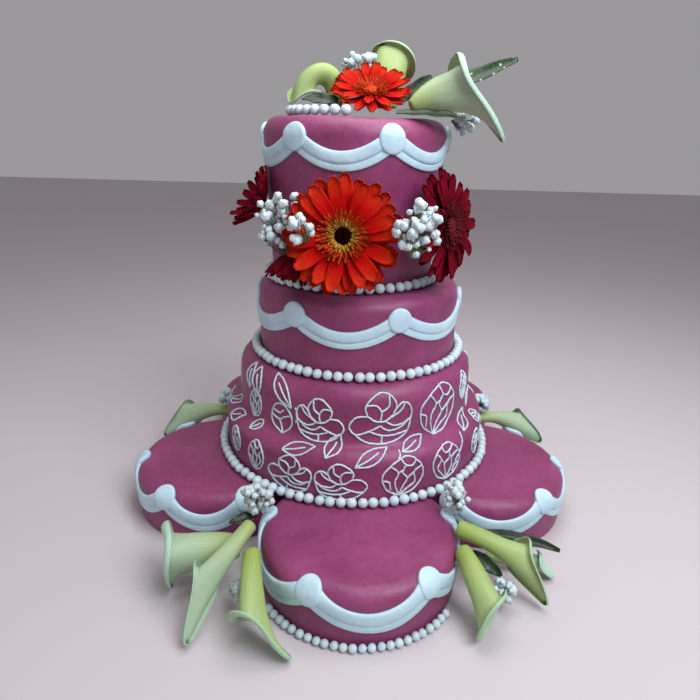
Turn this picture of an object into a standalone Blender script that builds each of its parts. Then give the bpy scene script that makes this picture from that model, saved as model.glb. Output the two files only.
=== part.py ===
"""Tiered wedding cake: five round cakes in a ring carry a two-storey tier, a middle tier and a top tier.

Swags, bead borders, gerberas, callas, leaves and clouds of small white blossom dress it.
Metres, +Z up, the front is -Y, and the origin is on the floor below the tiers' axis.
"""
import math
import random

import bmesh
import bpy
from mathutils import Vector

# Driving dimensions
CLEARANCE = 0.0003              # air between touching pieces
CAKE_RADIUS = 0.087             # the five round cakes of the bottom ring
CAKE_HEIGHT = 0.050
CAKE_SHOULDER = 0.013
RING_RADIUS = 0.152             # from the axis to the centres of the two back cakes
BACK_CAKE_ANGLE = 37.5          # each back cake's angle from straight back, in degrees
FRONT_CAKE = (0.0075, -0.168)
LEFT_CAKE = (-0.140, -0.053)
RIGHT_CAKE = (0.137, -0.050)

LOWER_STOREY_RADIUS = 0.141     # the two-storey tier below the middle one
LOWER_STOREY_HEIGHT = 0.0525
LOWER_STOREY_SHOULDER = 0.0145
UPPER_STOREY_RADIUS = 0.124
UPPER_STOREY_SHOULDER = 0.018
TWO_STOREY_HEIGHT = 0.110

MIDDLE_RADIUS = 0.104
MIDDLE_HEIGHT = 0.077
MIDDLE_SHOULDER = 0.015
MIDDLE_OFFSET = 0.0015          # the upper tiers stand a little off the axis
TOP_RADIUS = 0.0885
TOP_BASE_RADIUS = 0.081
TOP_HEIGHT = 0.152
TOP_SHOULDER = 0.016
TOP_OFFSET = -0.006
TOP_BEADS_OFF = 0.0008          # the top tier leans out above its beads

BEAD_RADIUS = 0.005
BEAD_PITCH = 0.010
BEAD_NECK = 0.4                 # waist between two beads, as a share of the bead's radius
SMALL_BEAD_RADIUS = 0.0037      # the front cake's border
SMALL_BEAD_PITCH = 0.0074
SMALL_BEAD_SPAN = 112           # degrees of the front cake's outer edge that its beads follow

SWAG_LIFT = 0.0013              # back of the strip, off the wall's facets
SWAG_THICKNESS = 0.0025
DISC_RADIUS = 0.0118            # the discs cover the strips' narrowed ends
DISC_THICKNESS = 0.0035

CALLA_SIDES = 10
CALLA_WALL = 0.0018
CALLA_CURL = (0.20, 0.5, 0.05)  # rim's curl, in mouth radii: at the back, its power, at the tip
CALLA_STOPS = ((0.0, 0, 0), (0.35, 0, 0), (0.65, 0, 0), (0.86, 0, 0), (1.0, 0, 0), (1.0, 130, 0),
               (1.0, 60, CALLA_WALL), (0.86, 0, CALLA_WALL), (0.66, 0, CALLA_WALL))
CALLA_THROAT = 0.6              # the stops are the way along, the curl in degrees and the inset
CALLA_SLANT_POWER = 1.4         # how the slanted back of the mouth falls off towards the tip
CALLA_TIP_POWER = 2.5           # how late the lip bends aside on its way to the tip
FLOOR_GAP = 0.0006              # lowest point of a flower that lies near the floor

ROSE_BASE = CAKE_HEIGHT + CLEARANCE
MIDDLE_BASE = ROSE_BASE + TWO_STOREY_HEIGHT + CLEARANCE
TOP_BASE = MIDDLE_BASE + MIDDLE_HEIGHT + CLEARANCE
TOP_SURFACE = TOP_BASE + TOP_HEIGHT


def clear_scene():
    for old in list(bpy.data.objects):
        bpy.data.objects.remove(old, do_unlink=True)


def new_collection(name, hidden=False):
    made = bpy.data.collections.new(name)
    bpy.context.scene.collection.children.link(made)
    made.hide_render = hidden
    return made


def new_material(name, colour, roughness):
    made = bpy.data.materials.new(name)
    made.use_nodes = True
    shader = made.node_tree.nodes["Principled BSDF"]
    shader.inputs["Base Color"].default_value = (*colour, 1.0)
    shader.inputs["Roughness"].default_value = roughness
    shader.inputs["Metallic"].default_value = 0.0
    made.diffuse_color = (*colour, 1.0)
    return made


def add_object(name, data, material, collection):
    made = bpy.data.objects.new(name, data)
    collection.objects.link(made)
    if material:
        data.materials.append(material)
    return made


def bmesh_object(name, shape, material, collection, turn_out=True):
    if turn_out:
        bmesh.ops.recalc_face_normals(shape, faces=shape.faces)
        if shape.calc_volume(signed=True) < 0:
            bmesh.ops.reverse_faces(shape, faces=shape.faces)
    mesh = bpy.data.meshes.new(name)
    shape.to_mesh(mesh)
    shape.free()
    mesh.shade_smooth()
    mesh.set_sharp_from_angle(angle=math.radians(40))
    return add_object(name, mesh, material, collection)


def evaluated_mesh(source):
    graph = bpy.context.evaluated_depsgraph_get()
    return bpy.data.meshes.new_from_object(source.evaluated_get(graph))


# ---- turned tiers ----

def arc(centre_r, centre_z, radius, start, end, steps):
    """Points of an arc in the (r, z) plane; angles in degrees, 0 pointing outwards and 90 up."""
    turns = [math.radians(start + (end - start) * i / steps) for i in range(steps + 1)]
    return [(centre_r + radius * math.cos(a), centre_z + radius * math.sin(a)) for a in turns]


def drum_profile(top_radius, base_radius, height, shoulder, steps=3):
    """Half outline of a drum with a rounded top edge, from the top centre to the bottom centre."""
    edge = arc(top_radius - shoulder, height - shoulder, shoulder, 90, 0, steps)
    return [(0, height)] + edge + [(base_radius, 0), (0, 0)]


def two_storey_profile():
    """A broad lower storey whose rounded shoulder meets the narrower upper one in a soft crease."""
    top = arc(UPPER_STOREY_RADIUS - UPPER_STOREY_SHOULDER, TWO_STOREY_HEIGHT - UPPER_STOREY_SHOULDER,
              UPPER_STOREY_SHOULDER, 90, 0, 3)
    shoulder_r = LOWER_STOREY_RADIUS - LOWER_STOREY_SHOULDER
    shoulder_z = LOWER_STOREY_HEIGHT - LOWER_STOREY_SHOULDER
    crease = [(UPPER_STOREY_RADIUS, LOWER_STOREY_HEIGHT + 0.006)]
    shoulder = arc(shoulder_r, shoulder_z, LOWER_STOREY_SHOULDER, 90, 0, 3)
    return [(0, TWO_STOREY_HEIGHT)] + top + crease + shoulder + [(LOWER_STOREY_RADIUS, 0), (0, 0)]


def turned(name, profile, place, segments, material, collection):
    """A profile in the XZ plane, turned about Z with a Screw modifier."""
    mesh = bpy.data.meshes.new(name)
    mesh.from_pydata([(r, 0, z) for r, z in profile], [(i, i + 1) for i in range(len(profile) - 1)], [])
    made = add_object(name, mesh, material, collection)
    made.location = place
    screw = made.modifiers.new("turn", "SCREW")
    screw.axis = "Z"
    screw.angle = math.tau
    screw.steps = segments
    screw.render_steps = segments
    screw.use_merge_vertices = True
    screw.merge_threshold = 0.00005
    screw.use_smooth_shade = True
    return made


# ---- bead borders ----

def bead_string(name, centre, radius, height, first, span, material, collection, bead=BEAD_RADIUS,
                pitch=BEAD_PITCH):
    """Touching beads along an arc: a tube whose radius swells at each bead and narrows between."""
    closed = span >= 360
    count = round(math.radians(span) * radius / pitch)
    stops = 2 * count if closed else 2 * count + 1
    data = bpy.data.curves.new(name, "CURVE")
    data.dimensions = "3D"
    data.bevel_depth = bead
    data.bevel_resolution = 0
    data.use_fill_caps = True
    spline = data.splines.new("POLY")
    spline.points.add(stops - 1)
    spline.use_cyclic_u = closed
    for i, point in enumerate(spline.points):
        angle = math.radians(first + span * i / (2 * count))
        point.co = (radius * math.cos(angle), radius * math.sin(angle), 0, 1)
        point.radius = 1.0 if i % 2 else BEAD_NECK
    made = add_object(name, data, material, collection)
    made.location = (centre[0], centre[1], height)
    return made


# ---- swags ----

class Wall:
    """The wall and rounded shoulder of one drum, measured up the surface from its base."""

    def __init__(self, centre, base, top_radius, base_radius, height, shoulder):
        self.centre, self.base = centre, base
        self.top_radius, self.base_radius, self.shoulder = top_radius, base_radius, shoulder
        self.straight = height - shoulder

    def point(self, degrees, travel, lift):
        angle = math.radians(degrees - 90)
        if travel <= self.straight:
            share = travel / self.straight
            radius = self.base_radius + (self.top_radius - self.base_radius) * share
            height, lean = travel, 0.0
        else:
            lean = (travel - self.straight) / self.shoulder
            radius = self.top_radius - self.shoulder * (1 - math.cos(lean))
            height = self.straight + self.shoulder * math.sin(lean)
        out = Vector((math.cos(angle) * math.cos(lean), math.sin(angle) * math.cos(lean), math.sin(lean)))
        foot = Vector((self.centre[0] + radius * math.cos(angle),
                       self.centre[1] + radius * math.sin(angle), self.base + height))
        return foot + out * lift, out


def swag_travel(share, disc_travel, sag):
    """Height of a hanging strip between two discs, as a parabola of the share of the way."""
    return disc_travel - sag * 4 * share * (1 - share)


def swag_strip(name, wall, discs, disc_travel, sag, width, segments, lift, material, collection):
    """A strip that hangs from disc to disc, as an open surface on the wall made solid."""
    closed = discs[-1] - discs[0] >= 360
    stations = []
    for first, second in zip(discs, discs[1:]):
        for i in range(segments):
            share = i / segments
            slope = -sag * 4 * (1 - 2 * share) / (math.radians(second - first) * wall.top_radius)
            slope = 0.0 if i == 0 else slope
            stations.append((first + (second - first) * share, share, slope))
    if not closed:
        stations.append((discs[-1], 0.0, 0.0))
    shape = bmesh.new()
    rows = []
    for degrees, share, slope in stations:
        tilt = math.atan(slope)
        half = width * (0.5 if share else 0.3)
        row = []
        for side in (-1, 1):
            along = math.degrees(-side * half * math.sin(tilt) / wall.top_radius)
            travel = swag_travel(share, disc_travel, sag) + side * half * math.cos(tilt)
            row.append(shape.verts.new(wall.point(degrees + along, travel, lift)[0]))
        rows.append(row)
    pairs = zip(rows, rows[1:] + rows[:1]) if closed else zip(rows, rows[1:])
    for (low, high), (next_low, next_high) in pairs:
        shape.faces.new((low, next_low, next_high, high))
    bmesh.ops.triangulate(shape, faces=shape.faces, quad_method="SHORT_EDGE")
    made = bmesh_object(name, shape, material, collection, turn_out=False)
    solid = made.modifiers.new("thickness", "SOLIDIFY")
    solid.thickness = SWAG_THICKNESS
    solid.offset = 1.0
    return made


def swags(name, wall, discs, disc_travel, sag, width, segments, lift, material, collection, loose):
    """Strips and the round discs that cover their ends, joined in one solid."""
    made = swag_strip(name, wall, discs, disc_travel, sag, width, segments, lift, material, collection)
    closed = discs[-1] - discs[0] >= 360
    for index, degrees in enumerate(discs[:-1] if closed else discs):
        foot, out = wall.point(degrees, disc_travel, lift * 0.6)
        shape = bmesh.new()
        bmesh.ops.create_cone(shape, cap_ends=True, segments=8, radius1=DISC_RADIUS,
                              radius2=DISC_RADIUS * 0.86, depth=DISC_THICKNESS)
        disc = bmesh_object(f"{name}_disc_{index}", shape, None, loose)
        disc.rotation_euler = out.to_track_quat("Z", "Y").to_euler()
        disc.location = foot + out * DISC_THICKNESS / 2
    bpy.context.view_layer.update()
    union = made.modifiers.new("discs", "BOOLEAN")
    union.operation = "UNION"
    union.operand_type = "COLLECTION"
    union.collection = loose
    union.solver = "EXACT"
    joined = evaluated_mesh(made)
    made.modifiers.clear()
    made.data = joined
    for disc in list(loose.objects):
        bpy.data.objects.remove(disc, do_unlink=True)
    return made


# ---- flowers ----

def gerbera(name, centre, facing, radius, cup, stem, seed, material, collection, petals=16):
    """A daisy head: blunt petals round an eye, thick at the root, thin at the rim, on a short calyx."""
    draw = random.Random(seed)
    axis = Vector(facing).normalized()
    side = axis.orthogonal().normalized()
    other = axis.cross(side)
    centre = Vector(centre)
    spin = draw.uniform(0, math.tau)

    def place(turn, reach, rise):
        angle = spin + math.tau * turn / petals
        return centre + (side * math.cos(angle) + other * math.sin(angle)) * reach + axis * rise

    shape = bmesh.new()
    eye = shape.verts.new(centre + axis * radius * 0.10)
    calyx = shape.verts.new(centre - axis * stem)
    front = [shape.verts.new(place(i + 0.5, radius * 0.32, radius * 0.04)) for i in range(petals)]
    back = [shape.verts.new(place(i + 0.5, radius * 0.30, -radius * 0.09)) for i in range(petals)]
    outline = []
    for i in range(petals):
        reach = radius * draw.uniform(0.9, 1.0)
        rise = radius * (cup + draw.uniform(-0.07, 0.07))
        valley = shape.verts.new(place(i, radius * 0.70, radius * cup * 0.6))
        outline.append((valley, shape.verts.new(place(i + 0.24, reach, rise)),
                        shape.verts.new(place(i + 0.76, reach, rise))))
    for i in range(petals):
        after = (i + 1) % petals
        valley, left, right = outline[i]
        shape.faces.new((eye, front[i], front[after]))
        shape.faces.new((calyx, back[after], back[i]))
        for root in (front, back):
            shape.faces.new((root[i], valley, left))
            shape.faces.new((root[i], left, right))
            shape.faces.new((root[i], right, outline[after][0]))
            shape.faces.new((root[i], outline[after][0], root[after]))
    return bmesh_object(name, shape, material, collection)


def bezier(base, bend, end, t):
    """Point and direction on a quadratic curve."""
    point = base * (1 - t) ** 2 + bend * 2 * t * (1 - t) + end * t ** 2
    heading = (bend - base) * (1 - t) + (end - bend) * t
    return point, heading.normalized()


def arc_through(base, middle, mouth, t):
    """Point, running way and outward way of the arc from base through middle to mouth, and its axis."""
    first, last = middle - base, mouth - base
    mixed, near, far = first.dot(last), first.dot(first), last.dot(last)
    share = 2 * (near * far - mixed ** 2)
    centre = base + first * (far * (near - mixed) / share) + last * (near * (far - mixed) / share)
    axis = first.cross(last).normalized()
    start = base - centre
    side = axis.cross(start)
    sweep = math.atan2((mouth - centre).dot(side), (mouth - centre).dot(start)) % math.tau
    away = start * math.cos(sweep * t) + side * math.sin(sweep * t)
    outward = away.normalized()
    return centre + away, axis.cross(outward), outward, axis


def calla(name, base, middle, mouth, tip, stem_radius, mouth_radius, flare, strap, slant, material,
          collection):
    """A trumpet round an arc: its mouth curls out and one side of it runs out to a point."""
    sides = CALLA_SIDES
    back_curl, curl_power, tip_curl = CALLA_CURL
    base, middle, mouth, tip = (Vector(v) for v in (base, middle, mouth, tip))
    heading, last_outward = arc_through(base, middle, mouth, 1)[1:3]
    ahead = heading * (tip - mouth).dot(heading)
    tipward = (tip - mouth - ahead).normalized()
    aside = tip - mouth - ahead - tipward * mouth_radius

    def ring(t, curl_angle, inset):
        point, along, outward, axis = arc_through(base, middle, mouth, t)
        up = axis * axis.dot(tipward) + outward * last_outward.dot(tipward)
        across = along.cross(up)
        radius = stem_radius + (mouth_radius - stem_radius) * t ** flare
        drawn = max(0.0, 2 * t - 1) ** 2
        curl_angle = math.radians(curl_angle)
        corners = []
        for k in range(sides):
            turn = math.tau * k / sides
            near = (1 + math.cos(turn)) / 2
            pull = near ** strap * drawn
            curl = mouth_radius * (back_curl * (1 - near) ** curl_power + tip_curl) + inset
            outwards = radius - inset + curl * (1 - math.cos(curl_angle))
            set_back = slant * mouth_radius * (1 - near) ** CALLA_SLANT_POWER * drawn
            forwards = curl * math.sin(curl_angle) - set_back
            spot = (point + (up * math.cos(turn) + across * math.sin(turn)) * outwards + along * forwards
                    + ahead * pull + aside * pull ** CALLA_TIP_POWER)
            spot.z = max(spot.z, FLOOR_GAP + inset)
            corners.append(shape.verts.new(spot))
        return corners

    shape = bmesh.new()
    rings = [ring(*stop) for stop in CALLA_STOPS]
    for lower, upper in zip(rings, rings[1:]):
        for k in range(sides):
            after = (k + 1) % sides
            shape.faces.new((lower[k], lower[after], upper[after], upper[k]))
    stem_end = shape.verts.new(base)
    throat = shape.verts.new(arc_through(base, middle, mouth, CALLA_THROAT)[0])
    for k in range(sides):
        after = (k + 1) % sides
        shape.faces.new((stem_end, rings[0][after], rings[0][k]))
        shape.faces.new((throat, rings[-1][k], rings[-1][after]))
    bmesh.ops.triangulate(shape, faces=shape.faces)
    return bmesh_object(name, shape, material, collection)


def leaf(name, base, bend, tip, width, face, wave, material, collection):
    """A long leaf along a bent path, folded a little at its rib and waved at its edges."""
    base, bend, tip, face = (Vector(v) for v in (base, bend, tip, face))
    steps = 4
    shape = bmesh.new()
    rows = []
    for i in range(steps + 1):
        t = i / steps
        point, along = bezier(base, bend, tip, t)
        across = along.cross(face).normalized()
        up = across.cross(along)
        half = width / 2 * (0.14 + 0.86 * math.sin(math.pi * (0.12 + 0.86 * t)) ** 0.8)
        rise = wave * math.sin(5 * t)
        rows.append([shape.verts.new(point + across * half * side + up * (0.25 * half * abs(side)
                                     + rise * side)) for side in (-1, 0, 1)])
    for low, high in zip(rows, rows[1:]):
        for j in range(2):
            shape.faces.new((low[j], low[j + 1], high[j + 1], high[j]))
    made = bmesh_object(name, shape, material, collection)
    solid = made.modifiers.new("thickness", "SOLIDIFY")
    solid.thickness = 0.0009
    solid.offset = 0.0
    cut = made.modifiers.new("triangles", "TRIANGULATE")
    cut.quad_method = "FIXED"
    return made


def blossom_cloud(name, centre, size, heading, seed, material, collection):
    """A bunch of many small white blossoms out to its uneven outline."""
    draw = random.Random(seed)
    shape = bmesh.new()
    bmesh.ops.create_icosphere(shape, subdivisions=2, radius=1.0)
    turn = Vector(heading).to_track_quat("Z", "Y")
    shape.verts.ensure_lookup_table()
    for index, vert in enumerate(shape.verts):
        bump = 1.0 if index % 2 else 0.74
        spot = vert.co * bump * draw.uniform(0.88, 1.0)
        spot = turn @ Vector((spot.x * size[0], spot.y * size[1], spot.z * size[2]))
        vert.co = Vector(centre) + spot
    return bmesh_object(name, shape, material, collection, turn_out=False)


# ---- the wedding cake ----

def bottom_cakes():
    """Each bottom cake's name and centre."""
    spread = math.radians(BACK_CAKE_ANGLE)
    back = (RING_RADIUS * math.sin(spread), RING_RADIUS * math.cos(spread))
    return {"front": FRONT_CAKE, "right": RIGHT_CAKE, "back_right": back,
            "back_left": (-back[0], back[1]), "left": LEFT_CAKE}


# Disc angles in degrees from straight ahead, + to the right, measured on the front of each drum
TOP_DISCS = [-35, 21, 82, 143, 204, 265, 325]
MIDDLE_DISCS = [-34, 21, 82, 143, 204, 265, 326]
CAKE_DISCS = {"front": [-98, -27, 41, 101], "right": [-29, 36, 88, 141], "back_right": [78, 143, 208],
              "back_left": [152, 217, 282], "left": [-137, -82, -27, 28]}


def build_cakes(collection, plum):
    for name, spot in bottom_cakes().items():
        profile = drum_profile(CAKE_RADIUS, CAKE_RADIUS, CAKE_HEIGHT, CAKE_SHOULDER)
        turned(f"cake_{name}", profile, (*spot, 0), 24, plum, collection)


def build_tiers(collection, plum):
    turned("rose_tier", two_storey_profile(), (0, 0, ROSE_BASE), 40, plum, collection)
    middle = drum_profile(MIDDLE_RADIUS, MIDDLE_RADIUS, MIDDLE_HEIGHT, MIDDLE_SHOULDER)
    turned("middle_tier", middle, (MIDDLE_OFFSET, 0, MIDDLE_BASE), 36, plum, collection)
    top = drum_profile(TOP_RADIUS, TOP_BASE_RADIUS, TOP_HEIGHT, TOP_SHOULDER)
    turned("top_tier", top, (TOP_OFFSET, 0, TOP_BASE), 36, plum, collection)


def build_beads(collection, icing):
    off = BEAD_RADIUS + CLEARANCE
    borders = (("beads_rose_tier", (0, 0), LOWER_STOREY_RADIUS + off, ROSE_BASE + off),
               ("beads_middle_tier", (MIDDLE_OFFSET, 0), MIDDLE_RADIUS + off, MIDDLE_BASE + off),
               ("beads_top_tier", (TOP_OFFSET, 0), TOP_BASE_RADIUS + TOP_BEADS_OFF + off, TOP_BASE + off))
    for name, centre, radius, height in borders:
        bead_string(name, centre, radius, height, 0, 360, icing, collection)
    small = SMALL_BEAD_RADIUS + CLEARANCE
    bead_string("beads_cake_front", FRONT_CAKE, CAKE_RADIUS + small, SMALL_BEAD_RADIUS,
                -90 - SMALL_BEAD_SPAN / 2, SMALL_BEAD_SPAN, icing, collection, SMALL_BEAD_RADIUS,
                SMALL_BEAD_PITCH)
    bead_string("beads_on_top", (TOP_OFFSET, 0), 0.063, TOP_SURFACE + off, 187, 80, icing, collection)


def build_swags(collection, loose, icing):
    top = Wall((TOP_OFFSET, 0), TOP_BASE, TOP_RADIUS, TOP_BASE_RADIUS, TOP_HEIGHT, TOP_SHOULDER)
    swags("swags_top_tier", top, TOP_DISCS, 0.1345, 0.0185, 0.016, 5, SWAG_LIFT, icing, collection, loose)
    middle = Wall((MIDDLE_OFFSET, 0), MIDDLE_BASE, MIDDLE_RADIUS, MIDDLE_RADIUS, MIDDLE_HEIGHT,
                  MIDDLE_SHOULDER)
    swags("swags_middle_tier", middle, MIDDLE_DISCS, 0.057, 0.0185, 0.016, 5, SWAG_LIFT, icing,
          collection, loose)
    for name, spot in bottom_cakes().items():
        wall = Wall(spot, 0, CAKE_RADIUS, CAKE_RADIUS, CAKE_HEIGHT, CAKE_SHOULDER)
        swags(f"swags_cake_{name}", wall, CAKE_DISCS[name], 0.0445, 0.020, 0.018, 5, SWAG_LIFT * 1.5,
              icing, collection, loose)


def build_top_flowers(collection, looks):
    gerbera("gerbera_top", (0.008, -0.025, 0.4125), (0.02, -0.58, 0.81), 0.0375, 0.14, 0.02, 3,
            looks["orange"], collection)
    calla("calla_top_left", (-0.0307, -0.006, 0.4005), (-0.0405, -0.0085, 0.428),
          (-0.0555, -0.0115, 0.4165), (-0.0655, -0.016, 0.4015), 0.0078, 0.0115, 0.8, 2.2, 0.1,
          looks["calla"], collection)
    calla("calla_top_middle", (0.0225, 0.027, 0.401), (0.0235, 0.0305, 0.4215), (0.0262, 0.039, 0.4385),
          (0.018, 0.04, 0.459), 0.012, 0.017, 0.8, 1, 0, looks["calla"], collection)
    calla("calla_top_right", (0.043, -0.0475, 0.399), (0.0592, -0.0449, 0.4068), (0.082, -0.044, 0.4135),
          (0.1253, -0.05, 0.375), 0.0055, 0.02, 0.9, 2, 0, looks["calla"], collection)
    leaf("leaf_top_strap", (0.052, 0.012, 0.414), (0.096, 0.012, 0.424), (0.146, 0.01, 0.447), 0.017,
         (0, -0.8, 0.6), 0.001, looks["leaf"], collection)
    leaf("leaf_top_left", (-0.022, -0.03, 0.4035), (-0.038, -0.03, 0.4055), (-0.055, -0.03, 0.4045), 0.012,
         (0, -0.7, 0.7), 0.0008, looks["leaf"], collection)
    leaf("leaf_top_right", (0.03, -0.058, 0.394), (0.056, -0.062, 0.3945), (0.082, -0.06, 0.393), 0.012,
         (0, -0.5, 0.85), 0.0008, looks["leaf"], collection)
    leaf("leaf_top_middle", (0.032, -0.008, 0.404), (0.044, -0.006, 0.414), (0.064, -0.004, 0.429), 0.013,
         (0, -0.8, 0.6), 0.001, looks["leaf"], collection)
    blossom_cloud("blossom_top_left", (-0.004, 0.0165, 0.437), (0.008, 0.019, 0.018), (-0.1, 0, 1), 11,
                  looks["blossom"], collection)
    blossom_cloud("blossom_top_right", (0.098, -0.014, 0.386), (0.01, 0.01, 0.014), (1, 0, -0.25), 12,
                  looks["blossom"], collection)


def build_side_flowers(collection, looks):
    gerbera("gerbera_orange", (-0.0133, -0.108, 0.2945), (-0.03, -0.96, 0.2), 0.052, 0.04, 0.021, 5,
            looks["orange"], collection, petals=18)
    gerbera("gerbera_red_right", (0.081, -0.07, 0.3), (0.8, -0.59, 0.12), 0.051, -0.08, 0.017, 6,
            looks["red"], collection, petals=18)
    gerbera("gerbera_red_upper_left", (-0.0925, -0.036, 0.312), (-0.84, -0.26, 0.48), 0.033, 0.45, 0.008,
            7, looks["red"], collection)
    gerbera("gerbera_red_lower_left", (-0.058, -0.085, 0.273), (-0.26, -0.3, -0.92), 0.02, 1.1, 0.006, 8,
            looks["red"], collection)
    leaf("leaf_side_left", (-0.0555, -0.0715, 0.317), (-0.049, -0.0745, 0.304), (-0.047, -0.076, 0.286),
         0.013, (-0.4, -0.9, 0.1), 0.001, looks["leaf"], collection)
    blossom_cloud("blossom_side_left", (-0.065, -0.0915, 0.303), (0.009, 0.027, 0.032), (-0.1, 0, 1), 13,
                  looks["blossom"], collection)
    blossom_cloud("blossom_side_left_front", (-0.048, -0.1215, 0.302), (0.005, 0.012, 0.012), (-0.5, 0, 1),
                  22, looks["blossom"], collection)
    blossom_cloud("blossom_side_right", (0.049, -0.1225, 0.305), (0.008, 0.0205, 0.026), (0.2, 0, 1), 14,
                  looks["blossom"], collection)


def build_front_sprays(collection, looks):
    """Callas, leaves and blossom that lie out on both sides of the front cake."""
    calla("calla_front_left_wide", (-0.099, -0.179, 0.031), (-0.1258, -0.1887, 0.0335),
          (-0.153, -0.196, 0.0345), (-0.151, -0.206, 0.012), 0.0085, 0.0185, 0.6, 2, 0, looks["calla"],
          collection)
    calla("calla_front_left_tube", (-0.086, -0.188, 0.06), (-0.0988, -0.2092, 0.0515),
          (-0.112, -0.225, 0.038), (-0.1239, -0.2621, 0.008), 0.0066, 0.0112, 3, 3.2, 0.2, looks["calla"],
          collection)
    calla("calla_front_left_green", (-0.0815, -0.208, 0.048), (-0.0772, -0.233, 0.0403),
          (-0.0735, -0.252, 0.027), (-0.044, -0.2715, 0.006), 0.0072, 0.013, 2.4, 3.4, 0.2, looks["calla"],
          collection)
    calla("calla_front_right_upper", (0.094, -0.174, 0.052), (0.1197, -0.1835, 0.047),
          (0.143, -0.19, 0.036), (0.166, -0.213, 0.009), 0.0072, 0.0125, 2.8, 3, 0.2, looks["calla"],
          collection)
    calla("calla_front_right_lower", (0.0955, -0.196, 0.044), (0.1027, -0.2198, 0.0393),
          (0.1095, -0.235, 0.029), (0.1035, -0.249, 0.006), 0.008, 0.0122, 2.2, 1.1, 0.3, looks["calla"],
          collection)
    calla("calla_front_right_far", (0.125, -0.16, 0.01), (0.1492, -0.1645, 0.0124), (0.172, -0.17, 0.0135),
          (0.1835, -0.175, 0.005), 0.004, 0.0075, 1.2, 2.5, 0.3, looks["calla"], collection)
    leaf("leaf_front_right", (0.107, -0.152, 0.027), (0.144, -0.155, 0.036), (0.185, -0.1785, 0.035),
         0.012, (0.2, -0.5, 0.8), 0.001, looks["leaf"], collection)
    leaf("leaf_front_right_low", (0.106, -0.184, 0.034), (0.118, -0.196, 0.034), (0.129, -0.202, 0.026),
         0.012, (-0.3, -0.6, 0.7), 0.001, looks["leaf"], collection)
    leaf("leaf_front_left", (-0.086, -0.16, 0.05), (-0.096, -0.168, 0.052), (-0.108, -0.172, 0.05), 0.01,
         (0, -0.5, 0.8), 0.0008, looks["leaf"], collection)
    blossom_cloud("blossom_front_left", (-0.083, -0.162, 0.07), (0.014, 0.012, 0.015), (0, 0, 1), 15,
                  looks["blossom"], collection)
    blossom_cloud("blossom_front_left_low", (-0.093, -0.22, 0.018), (0.008, 0.008, 0.012), (0, -0.4, 1),
                  16, looks["blossom"], collection)
    blossom_cloud("blossom_front_right", (0.095, -0.154, 0.07), (0.014, 0.012, 0.015), (0, 0, 1), 17,
                  looks["blossom"], collection)
    blossom_cloud("blossom_front_right_low", (0.128, -0.213, 0.022), (0.01, 0.009, 0.011), (0, -0.3, 1),
                  18, looks["blossom"], collection)


def build_back_sprays(collection, looks):
    """Smaller sprays in the other three gaps of the ring of cakes."""
    calla("calla_left", (-0.149, 0.0415, 0.05), (-0.1788, 0.0454, 0.05), (-0.202, 0.046, 0.042),
          (-0.231, 0.028, 0.024), 0.0055, 0.0125, 1.5, 3.2, 0.3, looks["calla"], collection)
    calla("calla_right", (0.15, 0.042, 0.05), (0.1745, 0.0465, 0.05), (0.2, 0.048, 0.042),
          (0.231, 0.034, 0.026), 0.0055, 0.0125, 1.5, 3, 0.3, looks["calla"], collection)
    calla("calla_back_left", (-0.006, 0.166, 0.046), (-0.0215, 0.1995, 0.045), (-0.036, 0.232, 0.034),
          (-0.048, 0.2715, 0.02), 0.005, 0.012, 1.5, 2, 0.2, looks["calla"], collection)
    calla("calla_back_right", (0.006, 0.166, 0.046), (0.018, 0.192, 0.0435), (0.03, 0.214, 0.032),
          (0.05, 0.241, 0.016), 0.005, 0.012, 1.6, 2, 0.2, looks["calla"], collection)
    leaf("leaf_back", (0, 0.16, 0.056), (0.002, 0.2, 0.066), (0.006, 0.246, 0.046), 0.015, (0, 0.5, 0.8),
         0.001, looks["leaf"], collection)
    for name, spot, seed in (("left", (-0.153, 0.040, 0.070), 19), ("right", (0.154, 0.042, 0.070), 20),
                             ("back", (0.001, 0.158, 0.074), 21)):
        blossom_cloud(f"blossom_{name}", spot, (0.012, 0.011, 0.011), (0, 0, 1), seed, looks["blossom"],
                      collection)


def main():
    clear_scene()
    collection = new_collection("wedding_cake")
    loose = new_collection("cutters", hidden=True)
    plum = new_material("plum_fondant", (0.27, 0.055, 0.145), 0.42)
    icing = new_material("white_fondant", (0.70, 0.80, 0.84), 0.45)
    looks = {"orange": new_material("orange_petal", (0.72, 0.035, 0.008), 0.55),
             "red": new_material("dark_red_petal", (0.12, 0.004, 0.010), 0.60),
             "calla": new_material("calla_spathe", (0.48, 0.58, 0.30), 0.40),
             "leaf": new_material("green_leaf", (0.015, 0.055, 0.020), 0.45),
             "blossom": new_material("white_blossom", (0.72, 0.78, 0.76), 0.70)}
    build_cakes(collection, plum)
    build_tiers(collection, plum)
    build_beads(collection, icing)
    build_swags(collection, loose, icing)
    build_top_flowers(collection, looks)
    build_side_flowers(collection, looks)
    build_front_sprays(collection, looks)
    build_back_sprays(collection, looks)
    bpy.context.view_layer.update()


main()
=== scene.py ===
import math
import bpy
import numpy as np
from mathutils import Matrix, Vector


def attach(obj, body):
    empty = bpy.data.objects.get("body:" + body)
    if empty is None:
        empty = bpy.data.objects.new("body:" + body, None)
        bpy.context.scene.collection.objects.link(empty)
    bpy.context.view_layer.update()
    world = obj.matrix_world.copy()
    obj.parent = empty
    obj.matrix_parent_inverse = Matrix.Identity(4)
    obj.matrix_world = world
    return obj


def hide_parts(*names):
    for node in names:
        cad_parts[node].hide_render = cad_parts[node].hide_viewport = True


mm = 0.001                               # metres

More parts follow.
